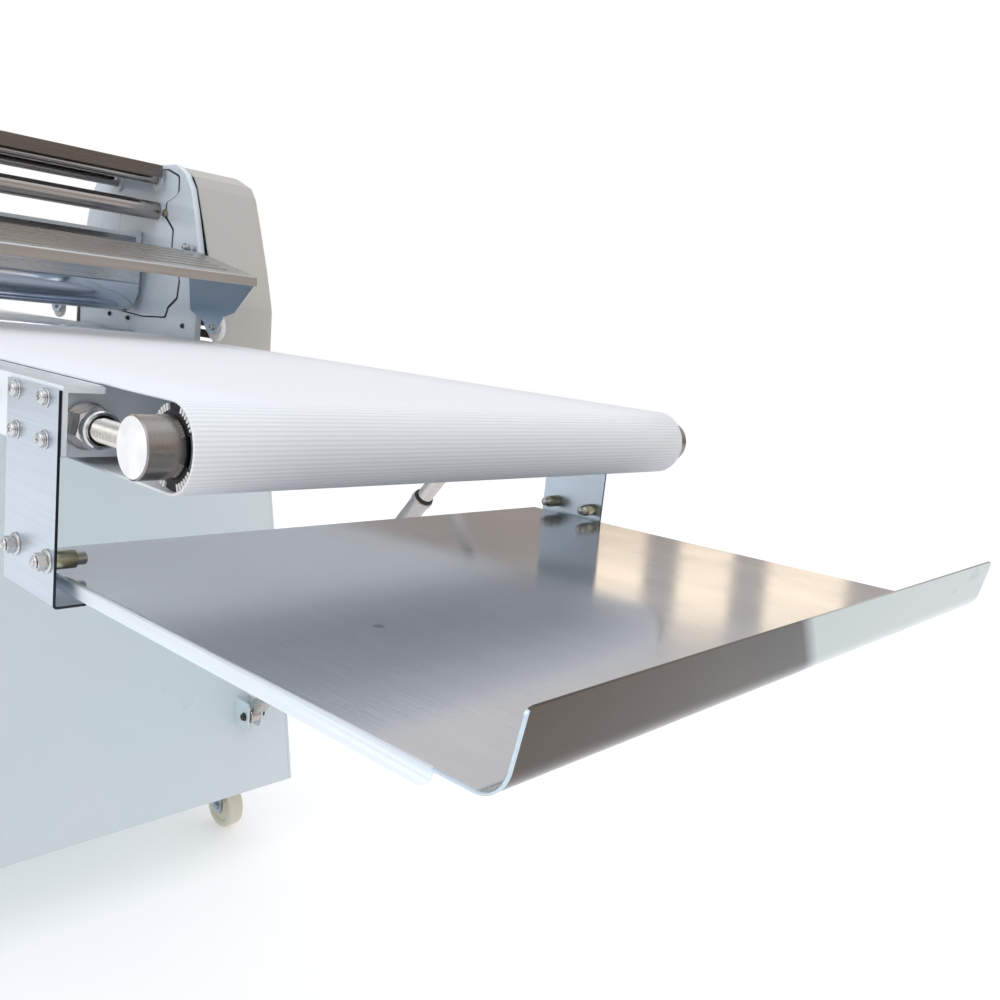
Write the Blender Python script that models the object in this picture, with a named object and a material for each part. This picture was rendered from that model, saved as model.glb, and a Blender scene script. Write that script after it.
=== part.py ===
"""Reversible floor-standing dough sheeter, as one assembly of separate named pieces.

Frame: metres, +Z up, origin at the bottom centre of the bounding box. +X runs to the right-hand table end and
-Y faces the operator. Lengths below are in millimetres; heights in them are measured from the roller axis.
"""

import math

import bmesh
import bpy
from mathutils import Matrix, Vector

MM = 0.001
AXIS_Z = 785.0  # height of the belt roller axes above the floor
SHIFT_Y = 28.0  # moves the centre plane so that the origin is in the middle of the box

NOSE_X = 1080.0  # nose roller axis
HINGE_X = 115.0  # drive roller axis, which the table folds about
BELT_R = 28.4
BELT_T = 2.0
BELT_HALF = 252.0
ROLL_R = 26.1
RAIL_IN, RAIL_OUT = 255.0, 281.0
RAIL_LOW, RAIL_TOP = -17.3, 25.8
RAIL_END = 1004.2
PLATE_X = (983.0, 989.0)  # end plate that the tension studs pass through
RAIL_START = 330.0
STUD_Y = 260.0

TRAY_HALF = 274.5
TRAY_REAR = (919.4, -97.0)
TRAY_BEND = (1362.5, -88.0)
TRAY_LIP = (1383.8, -47.3)
TRAY_T = 1.5
TRAY_SLOPE = math.atan2(TRAY_BEND[1] - TRAY_REAR[1], TRAY_BEND[0] - TRAY_REAR[0])
LIP_ANGLE = math.radians(79.5)
LIP_R = 17.0

BRACKET_X = (924.0, 1003.4)
BRACKET_Z = (-115.0, 23.0)
BRACKET_T = 2.0
SLEEVE_X = (943.7, 993.1)
SLEEVE_Z = -85.6

PLATE_IN, PLATE_OUT = 260.0, 270.0
HEAD_OUT = 380.0
DECK_Z = -75.0
PLATE_SIDE = ((203.0, 160.0), (197.0, 179.0), (183.0, 221.0), (169.0, 257.0), (149.0, 280.0), (120.0, 294.5))
COVER_SIDE = (
    (243.0, 23.0), (240.0, 85.0), (237.0, 97.0), (220.0, 147.0),
    (194.0, 213.0), (174.0, 261.0), (161.0, 277.0), (122.0, 292.0),
)
COVER_T = 3.0
COVER_ROUND = 14.0

ROLLER_R = 44.0
LOWER_Z = -16.0
UPPER_Z = 102.0
SHAFT_R = 12.0
BAR_X = 68.0
BAR_Z = 271.5
BAR_R = 7.5
GAP_X, GAP_Z = 70.0, 223.0

GUARD_PIVOT = (190.0, 166.0)
GUARD_BACK = (220.0, 160.5)
GUARD_FRONT = (384.0, 129.5)
GUARD_HALF = 248.0
GUARD_WHEEL = (277.0, 51.0)
GUARD_WHEEL_R = 20.0
GUARD_SLOTS = 6

STRUT_Y = 300.0
STRUT_LOW = (370.0, -543.0)
STRUT_HIGH = (818.0, 0.0)
STRUT_SLEEVE = 539.0
STRUT_ROD = 610.0

CABINET = ((231.0, DECK_Z), (263.0, -206.0), (353.0, -575.0), (375.0, -670.0))
CABINET_HALF = 380.0
CABINET_T = 4.0
PANEL_T = 4.0

CASTER_X, CASTER_Y = 263.0, 330.0
CASTER_R = 37.5
CASTER_TRAIL = 28.0

WHITE_PAINT = (0.83, 0.85, 0.86)
COVER_PAINT = (0.47, 0.465, 0.41)
CABINET_PAINT = (0.55, 0.62, 0.66)
STAINLESS = (0.62, 0.62, 0.61)
BELT_WHITE = (0.86, 0.85, 0.80)
NYLON = (0.82, 0.80, 0.74)
ZINC = (0.60, 0.62, 0.64)
BLACK = (0.03, 0.03, 0.03)


def clear_scene():
    for obj in list(bpy.data.objects):
        bpy.data.objects.remove(obj, do_unlink=True)


def paint(name, colour, metallic, roughness):
    """A material of its own for one object."""
    made = bpy.data.materials.new(name)
    made.use_nodes = True
    shader = made.node_tree.nodes["Principled BSDF"]
    shader.inputs["Base Color"].default_value = (*colour, 1.0)
    shader.inputs["Metallic"].default_value = metallic
    shader.inputs["Roughness"].default_value = roughness
    return made


def helper(points, faces):
    """A closed mesh from points in millimetres, faces turned outward."""
    mesh = bpy.data.meshes.new("helper")
    mesh.from_pydata([tuple(p) for p in points], [], faces)
    work = bmesh.new()
    work.from_mesh(mesh)
    bmesh.ops.recalc_face_normals(work, faces=work.faces)
    work.to_mesh(mesh)
    work.free()
    obj = bpy.data.objects.new("helper", mesh)
    bpy.context.scene.collection.objects.link(obj)
    return obj


def loft(sections):
    """Joins outlines of equal length, each a list of 3-D points, into one solid with flat ends."""
    count = len(sections[0])
    points = [p for section in sections for p in section]
    faces = [list(range(count)), [len(points) - count + i for i in range(count)]]
    for low in range(0, len(points) - count, count):
        for i in range(count):
            j = (i + 1) % count
            faces.append([low + i, low + j, low + count + j, low + count + i])
    return helper(points, faces)


def along(axis, outline, at):
    """Puts a 2-D outline on the plane where that axis equals at."""
    if axis == "x":
        return [(at, u, v) for u, v in outline]
    if axis == "y":
        return [(u, at, v) for u, v in outline]
    return [(u, v, at) for u, v in outline]


def prism(axis, outline, low, high):
    return loft([along(axis, outline, low), along(axis, outline, high)])


def box(x0, x1, y0, y1, z0, z1):
    return prism("y", [(x0, z0), (x1, z0), (x1, z1), (x0, z1)], y0, y1)


def circle(u, v, radius, sides, start=-0.25):
    turn = 2 * math.pi
    return [
        (u + radius * math.cos(turn * (start + i / sides)), v + radius * math.sin(turn * (start + i / sides)))
        for i in range(sides)
    ]


def rod(axis, u, v, radius, low, high, sides=20):
    return prism(axis, circle(u, v, radius, sides), low, high)


def moved(obj, matrix):
    obj.data.transform(matrix)
    return obj


def combine(target, others, operation):
    for other in others:
        modifier = target.modifiers.new(operation, "BOOLEAN")
        modifier.operation = operation
        modifier.solver = "MANIFOLD"
        modifier.object = other


def node(name, look, solids, cuts=()):
    """Fuses the solids, takes the cuts away and leaves one named object in metres."""
    target = solids[0]
    combine(target, solids[1:], "UNION")
    combine(target, cuts, "DIFFERENCE")
    bpy.context.view_layer.update()
    graph = bpy.context.evaluated_depsgraph_get()
    mesh = bpy.data.meshes.new_from_object(target.evaluated_get(graph))
    for used in [*solids, *cuts]:
        bpy.data.objects.remove(used, do_unlink=True)
    mesh.transform(Matrix.Scale(MM, 4) @ Matrix.Translation(Vector((0.0, SHIFT_Y, AXIS_Z))))
    mesh.name = name
    mesh.materials.clear()
    mesh.materials.append(paint(name, *look))
    obj = bpy.data.objects.new(name, mesh)
    bpy.context.scene.collection.objects.link(obj)


def side_box(side, x0, x1, y0, y1, z0, z1):
    """A box given for the right-hand side, mirrored when side is -1."""
    return box(*sorted((side * x0, side * x1)), y0, y1, z0, z1)


def mirrored(side, outline):
    return [(side * u, v) for u, v in outline]


def ends(sign, near, far):
    """The span from near to far of the centre plane, on the +Y or -Y side."""
    return tuple(sorted((sign * near, sign * far)))


def stadium(radius, sides=12):
    """The outline of a belt loop round both rollers."""
    outline = []
    for centre, start in ((NOSE_X, -0.25), (HINGE_X, 0.25)):
        for i in range(sides + 1):
            angle = 2 * math.pi * (start + 0.5 * i / sides)
            outline.append((centre + radius * math.cos(angle), radius * math.sin(angle)))
    return outline


def table_frame(name, side):
    low, top = RAIL_LOW, RAIL_TOP
    solids = [
        side_box(side, 150.0, PLATE_X[1], -RAIL_IN, RAIL_IN, top - 3.0, top),
        side_box(side, *PLATE_X, -RAIL_OUT + 2.0, RAIL_OUT - 2.0, low - 3.2, top),
    ]
    cuts = [rod("y", side * HINGE_X, 0.0, 10.4, -262.0, 262.0)]
    for sign in (-1, 1):
        solids += [
            side_box(side, RAIL_START, RAIL_END, *ends(sign, RAIL_IN, RAIL_OUT), low, top),
            side_box(side, HINGE_X, 345.0, *ends(sign, 240.0, 250.0), low, top - 1.0),
            rod("y", side * HINGE_X, 0.0, 21.0, *ends(sign, 240.0, 250.0)),
            rod("y", side * STRUT_HIGH[0], STRUT_HIGH[1], 14.0, *ends(sign, RAIL_OUT - 1.0, 283.3)),
        ]
        cuts += [
            side_box(side, 352.0, PLATE_X[0], *ends(sign, 230.0, RAIL_OUT - 4.0), low + 4.0, top - 4.0),
            side_box(
                side, PLATE_X[1], RAIL_END + 1.0, *ends(sign, 230.0, RAIL_OUT - 3.0), low - 1.0, top - 4.0
            ),
            rod("x", sign * STUD_Y, 0.0, 8.5, *sorted((side * 980.0, side * 992.0))),
        ]
    for x0, x1 in ((RAIL_START, 350.0), (655.0, 675.0)):
        solids.append(side_box(side, x0, x1, -RAIL_OUT + 2.0, RAIL_OUT - 2.0, low + 1.0, top - 1.0))
    node(name, (WHITE_PAINT, 0.0, 0.35), solids, cuts)


def belt(name, side):
    outer = prism("y", mirrored(side, stadium(BELT_R)), -BELT_HALF, BELT_HALF)
    inner = prism("y", mirrored(side, stadium(BELT_R - BELT_T)), -BELT_HALF - 1, BELT_HALF + 1)
    node(name, (BELT_WHITE, 0.0, 0.8), [outer], [inner])


def nose_shaft(name, side):
    x = side * NOSE_X
    solids = [rod("y", x, 0.0, 8.0, -252.0, 252.0)]
    for sign in (-1, 1):
        y = sign * STUD_Y
        near = PLATE_X[1] + 0.4
        solids += [
            rod("y", x, 0.0, 19.0, *ends(sign, 250.5, 274.8), 28),
            rod("x", y, 0.0, 8.0, *sorted((side * 970.0, side * (NOSE_X - 10.0)))),
            rod("x", y, 0.0, 15.5, *sorted((side * near, side * (near + 3.0))), 20),
            rod("x", y, 0.0, 13.86, *sorted((side * (near + 2.5), side * (near + 16.0))), 6),
            rod("x", y, 0.0, 12.3, *sorted((side * (near + 15.5), side * (near + 24.5))), 20),
        ]
    node(name, (STAINLESS, 1.0, 0.25), solids)


def nose_roller(name, side):
    x = side * NOSE_X
    node(
        name,
        (ZINC, 1.0, 0.4),
        [rod("y", x, 0.0, ROLL_R, -250.0, 250.0, 28)],
        [rod("y", x, 0.0, 8.5, -255.0, 255.0)],
    )


def drive_roller(name, side):
    x = side * HINGE_X
    solids = [rod("y", x, 0.0, ROLL_R, -239.5, 239.5, 28), rod("y", x, 0.0, 10.0, -268.0, 268.0)]
    node(name, (ZINC, 1.0, 0.4), solids)


def bracket(name, side, sign):
    near = RAIL_OUT + 0.3
    far = near + BRACKET_T
    low, top = BRACKET_Z
    solids = [
        side_box(side, *BRACKET_X, *ends(sign, near, far), low, top),
        side_box(side, *BRACKET_X, *ends(sign, 262.0, far), low, low + BRACKET_T),
    ]
    for x in SLEEVE_X:
        solids.append(rod("y", side * x, SLEEVE_Z, 6.0, *ends(sign, 265.5, far - 1.0), 16))
        solids.append(rod("y", side * x, SLEEVE_Z, 4.4, *ends(sign, 258.5, 266.0), 16))
    node(name, (STAINLESS, 1.0, 0.3), solids)


def tray_profile(offset):
    """The floor and lip line, moved down and out by offset."""
    points = []
    start, turn = TRAY_SLOPE, LIP_ANGLE
    normal = (math.sin(start), -math.cos(start))
    points.append((TRAY_REAR[0] + offset * normal[0], TRAY_REAR[1] + offset * normal[1]))
    centre = (TRAY_BEND[0] - LIP_R * math.sin(start), TRAY_BEND[1] + LIP_R * math.cos(start))
    for i in range(8):
        angle = start + (turn - start) * i / 7
        reach = LIP_R + offset
        points.append((centre[0] + reach * math.sin(angle), centre[1] - reach * math.cos(angle)))
    points.append((TRAY_LIP[0] + offset * math.sin(turn), TRAY_LIP[1] - offset * math.cos(turn)))
    return points


def catch_tray(name, side):
    outline = tray_profile(0.0) + tray_profile(TRAY_T)[::-1]
    solids = [prism("y", mirrored(side, outline), -TRAY_HALF, TRAY_HALF)]
    slope = math.tan(TRAY_SLOPE)
    x0, z0 = TRAY_REAR
    flange = [
        (x0, z0 - 0.5), (x0, z0 - 10.0), (x0 + 411.0, z0 - 10.0 + 411.0 * slope),
        (x0 + 416.0, z0 - 8.5 + 416.0 * slope), (x0 + 420.0, z0 - 5.0 + 420.0 * slope),
        (x0 + 421.0, z0 - 0.5 + 421.0 * slope),
    ]
    for sign in (-1, 1):
        solids.append(prism("y", mirrored(side, flange), *ends(sign, TRAY_HALF - TRAY_T, TRAY_HALF)))
    node(name, (STAINLESS, 1.0, 0.35), solids)


def strut_pose(side):
    """The turn that lays a strut built along +X from its lower pivot."""
    dx, dz = STRUT_HIGH[0] - STRUT_LOW[0], STRUT_HIGH[1] - STRUT_LOW[1]
    angle = math.atan2(dz, dx)
    place = Matrix.Translation(Vector((STRUT_LOW[0], 0.0, STRUT_LOW[1]))) @ Matrix.Rotation(-angle, 4, "Y")
    return Matrix.Scale(side, 4, Vector((1.0, 0.0, 0.0))) @ place, math.hypot(dx, dz)


def laid(side, parts):
    matrix, _ = strut_pose(side)
    for part in parts:
        moved(part, matrix)
        if side < 0:
            part.data.flip_normals()
    return parts


def strut_sleeve(name, side, sign):
    y = sign * STRUT_Y
    solids = [
        rod("y", 0.0, 0.0, 12.0, y - 8.5, y + 8.5),
        box(8.0, 30.0, y - 8.0, y + 8.0, -8.0, 8.0),
        rod("x", y, 0.0, 12.5, 27.0, STRUT_SLEEVE),
        rod("x", y, 0.0, 14.5, STRUT_SLEEVE - 16.0, STRUT_SLEEVE + 2.0),
    ]
    cuts = [rod("y", 0.0, 0.0, 6.5, y - 12.0, y + 12.0), rod("x", y, 0.0, 10.6, 40.0, STRUT_SLEEVE + 20.0)]
    node(name, (STAINLESS, 1.0, 0.3), laid(side, solids), laid(side, cuts))


def strut_rod(name, side, sign):
    y = sign * STRUT_Y
    _, length = strut_pose(side)
    near, far = ends(sign, 283.7, STRUT_Y + 10.0)
    solids = [
        rod("x", y, 0.0, 10.0, length - STRUT_ROD, length),
        rod("y", length, 0.0, 13.0, y - 10.0, y + 10.0),
        rod("y", length, 0.0, 6.0, near, far),
    ]
    node(name, (STAINLESS, 1.0, 0.3), laid(side, solids))


def guard(name, side):
    bx, bz = GUARD_BACK
    fx, fz = GUARD_FRONT
    slope = math.atan2(fz - bz, fx - bx)
    px, pz = GUARD_PIVOT
    sheet = [
        (bx, bz), (fx, fz), (fx + 2.0, fz - 2.0), (fx + 2.0, fz - 14.0), (fx, fz - 14.0), (fx, fz - 3.0),
        (fx - 2.0, fz - 2.0), (bx, bz - 2.0), (bx - 6.0, bz - 8.0), (bx - 7.5, bz - 6.5),
    ]
    cheek = [
        (px - 7.0, pz - 3.0), (px - 5.0, pz + 5.0), (px + 5.0, pz + 5.0), (bx - 7.0, bz - 6.0),
        (bx, bz - 0.5), (fx, fz - 0.5), (fx, fz - 12.0), (336.0, 76.0), (307.0, 68.0), (299.0, 57.0),
        (290.0, 42.0), (264.0, 42.0), (250.0, 58.0), (211.0, 73.0), (203.0, 118.0),
    ]
    solids = [prism("y", mirrored(side, sheet), -GUARD_HALF, GUARD_HALF)]
    for sign in (-1, 1):
        wx, wz = side * GUARD_WHEEL[0], GUARD_WHEEL[1]
        solids += [
            prism("y", mirrored(side, cheek), *ends(sign, GUARD_HALF - 2.0, GUARD_HALF)),
            rod("y", side * px, pz, 4.0, *ends(sign, GUARD_HALF - 1.0, 267.0), 16),
            rod("y", side * px, pz, 6.5, *ends(sign, GUARD_HALF - 5.0, GUARD_HALF - 1.0), 16),
            rod("y", wx, wz, 4.0, *ends(sign, GUARD_HALF - 1.0, 258.4), 16),
            rod("y", wx, wz, 7.0, *ends(sign, 257.9, 259.4), 16),
        ]
    cuts = []
    for i in range(GUARD_SLOTS):
        along_slope = 22.0 + 24.0 * i
        cx, cz = bx + along_slope * math.cos(slope), bz + along_slope * math.sin(slope)
        slot = box(cx - 5.0, cx + 5.0, -215.0, 215.0, cz - 12.0, cz + 12.0)
        cuts.append(moved(slot, Matrix.Scale(side, 4, Vector((1.0, 0.0, 0.0)))))
        if side < 0:
            slot.data.flip_normals()
    node(name, (STAINLESS, 1.0, 0.3), solids, cuts)


def guard_wheel(name, side, sign):
    x, z = side * GUARD_WHEEL[0], GUARD_WHEEL[1]
    span = ends(sign, 249.5, 257.5)
    bore = rod("y", x, z, 4.4, -262.0, 262.0)
    node(name, (NYLON, 0.0, 0.45), [rod("y", x, z, GUARD_WHEEL_R, *span, 28)], [bore])


def head_outline(side_points, inset=0.0):
    """Both halves of a head outline, drawn in from the edge by inset."""
    right = [(side_points[0][0] - inset, DECK_Z + 0.3 + inset)]
    right += [(x - inset, z - inset * 0.6) for x, z in side_points]
    return right + [(-x, z) for x, z in reversed(right)]


def head_plate(name, sign):
    outline = head_outline(PLATE_SIDE)
    cuts = [rod("y", 0.0, LOWER_Z, SHAFT_R + 0.5, -290.0, 290.0)]
    cuts.append(rod("y", GAP_X, GAP_Z, 9.5, -290.0, 290.0))
    for side in (-1, 1):
        cuts.append(rod("y", side * HINGE_X, 0.0, 10.5, -290.0, 290.0))
        cuts.append(rod("y", side * GUARD_PIVOT[0], GUARD_PIVOT[1], 4.4, -290.0, 290.0, 16))
    solids = [prism("y", outline, *ends(sign, PLATE_IN, PLATE_OUT))]
    node(name, (WHITE_PAINT, 0.0, 0.25), solids, cuts)


def cover_shell(sign):
    """The cover as a shell open towards the plate, its outer edge rounded."""
    levels = [(PLATE_OUT + 0.4, 0.0), (HEAD_OUT - COVER_ROUND, 0.0)]
    levels += [
        (HEAD_OUT - COVER_ROUND * (1 - math.sin(a)), COVER_ROUND * (1 - math.cos(a)))
        for a in (math.radians(30), math.radians(60), math.radians(90))
    ]
    outer = loft([along("y", head_outline(COVER_SIDE, inset), sign * y) for y, inset in levels])
    inner = [(y - COVER_T, inset + COVER_T) for y, inset in levels]
    inner[0] = (PLATE_OUT - 5.0, COVER_T)
    return outer, loft([along("y", head_outline(COVER_SIDE, inset), sign * y) for y, inset in inner])


def cover_front(name):
    outer, inner = cover_shell(-1)
    cuts = [
        inner,
        rod("y", GAP_X, GAP_Z, 9.5, -400.0, -300.0),
        rod("y", 170.0, 40.0, 8.5, -400.0, -300.0),
        rod("y", 120.0, 40.0, 8.5, -400.0, -300.0),
        rod("y", 0.0, 0.0, 8.5, -400.0, -300.0),
    ]
    node(name, (COVER_PAINT, 0.0, 0.4), [outer], cuts)


def cover_rear(name):
    outer, inner = cover_shell(1)
    vents = [box(-60.0, 60.0, 360.0, 400.0, z, z + 6.0) for z in (-20.0, 0.0, 20.0, 40.0)]
    node(name, (COVER_PAINT, 0.0, 0.4), [outer], [inner, *vents])


def sheeting_roller(name, z, body, shaft):
    solids = [rod("y", 0.0, z, ROLLER_R, -body, body, 32), rod("y", 0.0, z, SHAFT_R, -shaft, shaft)]
    node(name, (STAINLESS, 1.0, 0.15), solids)


def roller_carriage(name):
    """Two bearing arms and the bridge that ties them above the upper roller."""
    arm = [
        (-24.0, UPPER_Z - 14.0), (-14.0, UPPER_Z - 24.0), (14.0, UPPER_Z - 24.0), (24.0, UPPER_Z - 14.0),
        (24.0, UPPER_Z + 88.0), (-24.0, UPPER_Z + 88.0),
    ]
    solids = [box(-24.0, 24.0, -250.0, 250.0, UPPER_Z + 78.0, UPPER_Z + 84.0)]
    solids += [prism("y", arm, *ends(sign, 247.0, 256.5)) for sign in (-1, 1)]
    node(name, (WHITE_PAINT, 0.0, 0.3), solids, [rod("y", 0.0, UPPER_Z, SHAFT_R + 0.5, -262.0, 262.0)])


def upper_scraper(name):
    top, reach = UPPER_Z + 77.6, 48.5
    lip, bend = UPPER_Z + 2.0, UPPER_Z + 38.0
    section = [
        (-26.0, top), (-reach - 2.0, bend + 2.0), (-reach - 2.0, lip + 2.0), (-reach + 3.4, lip),
        (-reach + 1.0, bend), (-24.0, top - 3.0), (24.0, top - 3.0), (reach - 1.0, bend),
        (reach - 3.4, lip), (reach + 2.0, lip + 2.0), (reach + 2.0, bend + 2.0), (26.0, top),
    ]
    node(name, (STAINLESS, 1.0, 0.3), [prism("y", section, -243.0, 243.0)])


def lower_scraper(name):
    """A trough under the lower roller, its two lips beside the roller."""
    z, reach = LOWER_Z, 50.0
    section = [
        (reach, z + 6.0), (reach, z - 20.0), (36.0, z - 48.0), (-36.0, z - 48.0), (-reach, z - 20.0),
        (-reach, z + 6.0), (-reach + 4.8, z + 4.0), (-reach + 2.0, z - 19.0), (-34.5, z - 46.0),
        (34.5, z - 46.0), (reach - 2.0, z - 19.0), (reach - 4.8, z + 4.0),
    ]
    node(name, (STAINLESS, 1.0, 0.3), [prism("y", section, -259.7, 259.7)])


def top_bar(name, side):
    node(name, (ZINC, 1.0, 0.2), [rod("y", side * BAR_X, BAR_Z, BAR_R, -259.6, 259.6, 24)])


def gap_shaft(name):
    solids = [rod("y", GAP_X, GAP_Z, 9.0, -404.0, 276.0), rod("y", GAP_X, GAP_Z, 14.0, -258.0, 258.0, 24)]
    crank = [
        (GAP_X - 4.0, GAP_Z - 8.0), (GAP_X - 4.0, GAP_Z + 8.0), (GAP_X - 52.0, GAP_Z + 5.0),
        (GAP_X - 52.0, GAP_Z - 5.0),
    ]
    for sign in (-1, 1):
        span = ends(sign, 272.0, 275.0)
        solids += [
            prism("y", crank, *span),
            rod("y", GAP_X, GAP_Z, 15.0, *span),
        ]
    node(name, (ZINC, 1.0, 0.3), solids)


def gap_lever(name):
    """The operator's lever, clamped on the end of the gap shaft."""
    angle = math.radians(60.0)
    tip = (GAP_X + 170.0 * math.cos(angle), GAP_Z + 170.0 * math.sin(angle))
    bar = moved(box(0.0, 165.0, -398.0, -388.0, -7.0, 7.0), Matrix.Rotation(-angle, 4, "Y"))
    moved(bar, Matrix.Translation(Vector((GAP_X, 0.0, GAP_Z))))
    solids = [
        rod("y", GAP_X, GAP_Z, 22.0, -402.0, -384.0, 24),
        bar,
        rod("y", *tip, 8.0, -410.0, -388.0),
        rod("y", *tip, 15.0, -436.0, -404.0),
    ]
    node(name, (BLACK, 0.0, 0.4), solids, [rod("y", GAP_X, GAP_Z, 9.4, -410.0, -380.0)])


def flour_tray(name):
    """A flat tray lying on the two bars, its long walls hooked down over them."""
    rest = BAR_Z + BAR_R + 0.4
    solids = [
        box(-97.0, 97.0, -250.0, 250.0, rest, rest + 2.0),
        *(
            box(*sorted((side * 96.0, side * 98.0)), -250.0, 250.0, rest - 7.0, rest + 12.0)
            for side in (-1, 1)
        ),
        *(box(-97.0, 97.0, *ends(sign, 248.0, 250.0), rest + 1.0, rest + 12.0) for sign in (-1, 1)),
    ]
    node(name, (STAINLESS, 1.0, 0.3), solids)


def push_button(name, x, z, radius, colour):
    solids = [rod("y", x, z, 8.0, -392.0, -340.0, 16), rod("y", x, z, radius, -400.0, -387.0, 24)]
    node(name, (colour, 0.0, 0.35), solids)


def direction_lever(name):
    solids = [
        rod("y", 0.0, 0.0, 8.0, -392.0, -340.0, 16),
        rod("y", 0.0, 0.0, 20.0, -398.0, -384.0, 24),
        box(-5.0, 5.0, -397.0, -388.0, -62.0, -10.0),
        rod("y", 0.0, -62.0, 12.0, -404.0, -386.0),
    ]
    node(name, (BLACK, 0.0, 0.4), solids)


def cabinet_outline(inset=0.0):
    right = [(x - inset * 1.03, z) for x, z in CABINET]
    right[0] = (right[0][0], right[0][1] - inset)
    right[-1] = (right[-1][0], right[-1][1] + inset)
    return right + [(-x, z) for x, z in reversed(right)]


def clevis(side, sign):
    """Two ears and a pin on the slanted wall, holding a strut's lower eye."""
    x, z = STRUT_LOW
    y = sign * STRUT_Y
    outline = [
        (x - 36.0, z - 21.0), (x + 4.0, z - 21.0), (x + 8.0, z - 16.0), (x + 8.0, z + 16.0),
        (x + 4.0, z + 21.0), (x - 36.0, z + 21.0),
    ]
    ear = mirrored(side, outline)
    solids = [rod("y", side * x, z, 6.0, y - 15.0, y + 15.0, 16)]
    for offset in (-13.5, 10.5):
        solids.append(prism("y", ear, y + offset, y + offset + 3.0))
    return solids


def caster_mount(side, sign):
    """A top plate with the kingpin and its retaining head."""
    x, y, z = side * CASTER_X - CASTER_TRAIL, sign * CASTER_Y, CABINET[-1][1]
    return [
        box(x - 38.0, x + 38.0, y - 38.0, y + 38.0, z - 4.0, z + 1.0),
        rod("z", x, y, 7.0, z - 22.0, z),
        rod("z", x, y, 11.0, z - 22.0, z - 15.0),
    ]


def cabinet_shell(name):
    reach = CABINET_HALF - PANEL_T - 0.4
    solids = [prism("y", cabinet_outline(), -reach, reach)]
    cuts = [prism("y", cabinet_outline(CABINET_T), -reach - 1, reach + 1)]
    hollow = [combined_shell(solids[0], cuts[0])]
    for side in (-1, 1):
        for sign in (-1, 1):
            hollow += clevis(side, sign) + caster_mount(side, sign)
    node(name, (CABINET_PAINT, 0.0, 0.4), hollow)


def combined_shell(outer, inner):
    """Hollows outer by inner at once, so that later unions stay whole."""
    combine(outer, [inner], "DIFFERENCE")
    bpy.context.view_layer.update()
    graph = bpy.context.evaluated_depsgraph_get()
    mesh = bpy.data.meshes.new_from_object(outer.evaluated_get(graph))
    obj = bpy.data.objects.new("helper", mesh)
    bpy.context.scene.collection.objects.link(obj)
    for used in (outer, inner):
        bpy.data.objects.remove(used, do_unlink=True)
    return obj


def cabinet_panel(name, sign):
    node(
        name,
        (CABINET_PAINT, 0.0, 0.4),
        [prism("y", cabinet_outline(), *ends(sign, CABINET_HALF - PANEL_T, CABINET_HALF))],
    )


def drive_motor(name):
    z, low = -560.0, CABINET[-1][1] + CABINET_T + 0.4
    solids = [
        rod("y", 0.0, z, 78.0, -150.0, 130.0, 24),
        rod("y", 0.0, z, 84.0, -190.0, -150.0, 24),
        rod("y", 0.0, z, 14.0, -230.0, -150.0, 16),
        box(-80.0, 80.0, -110.0, 90.0, low, low + 8.0),
        box(-50.0, 50.0, -100.0, 80.0, low, z),
        box(40.0, 110.0, -60.0, 40.0, z - 30.0, z + 40.0),
    ]
    node(name, (BLACK, 0.0, 0.5), solids)


def caster_fork(name, side, sign):
    x, y = side * CASTER_X - CASTER_TRAIL, sign * CASTER_Y
    top = CABINET[-1][1] - 5.0
    axle = -AXIS_Z + CASTER_R
    ax = x + CASTER_TRAIL
    leg = [(x - 22.0, top), (x + 22.0, top), (ax + 12.0, axle + 14.0), (ax + 12.0, axle - 10.0),
           (ax - 12.0, axle - 10.0), (ax - 12.0, axle + 10.0)]
    solids = [rod("z", x, y, 26.0, top - 6.0, top, 24), rod("y", ax, axle, 5.0, y - 20.0, y + 20.0, 16)]
    solids += [prism("y", leg, y + offset, y + offset + 2.5) for offset in (-17.5, 15.0)]
    node(name, (ZINC, 1.0, 0.35), solids, [rod("z", x, y, 7.5, top - 10.0, top + 5.0)])


def caster_wheel(name, side, sign):
    x, y, z = side * CASTER_X, sign * CASTER_Y, -AXIS_Z + CASTER_R
    solids = [rod("y", x, z, CASTER_R, y - 12.5, y + 12.5, 32)]
    node(name, (NYLON, 0.0, 0.45), solids, [rod("y", x, z, 5.5, y - 20.0, y + 20.0, 16)])


def build_table(word, side):
    table_frame(f"table_{word}_frame", side)
    belt(f"belt_{word}", side)
    nose_shaft(f"nose_shaft_{word}", side)
    nose_roller(f"nose_roller_{word}", side)
    drive_roller(f"drive_roller_{word}", side)
    catch_tray(f"catch_tray_{word}", side)
    guard(f"guard_{word}", side)
    for end, sign in (("front", -1), ("rear", 1)):
        bracket(f"tray_bracket_{word}_{end}", side, sign)
        strut_sleeve(f"strut_sleeve_{word}_{end}", side, sign)
        strut_rod(f"strut_rod_{word}_{end}", side, sign)
        guard_wheel(f"guard_wheel_{word}_{end}", side, sign)
        caster_fork(f"caster_fork_{word}_{end}", side, sign)
        caster_wheel(f"caster_wheel_{word}_{end}", side, sign)


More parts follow.
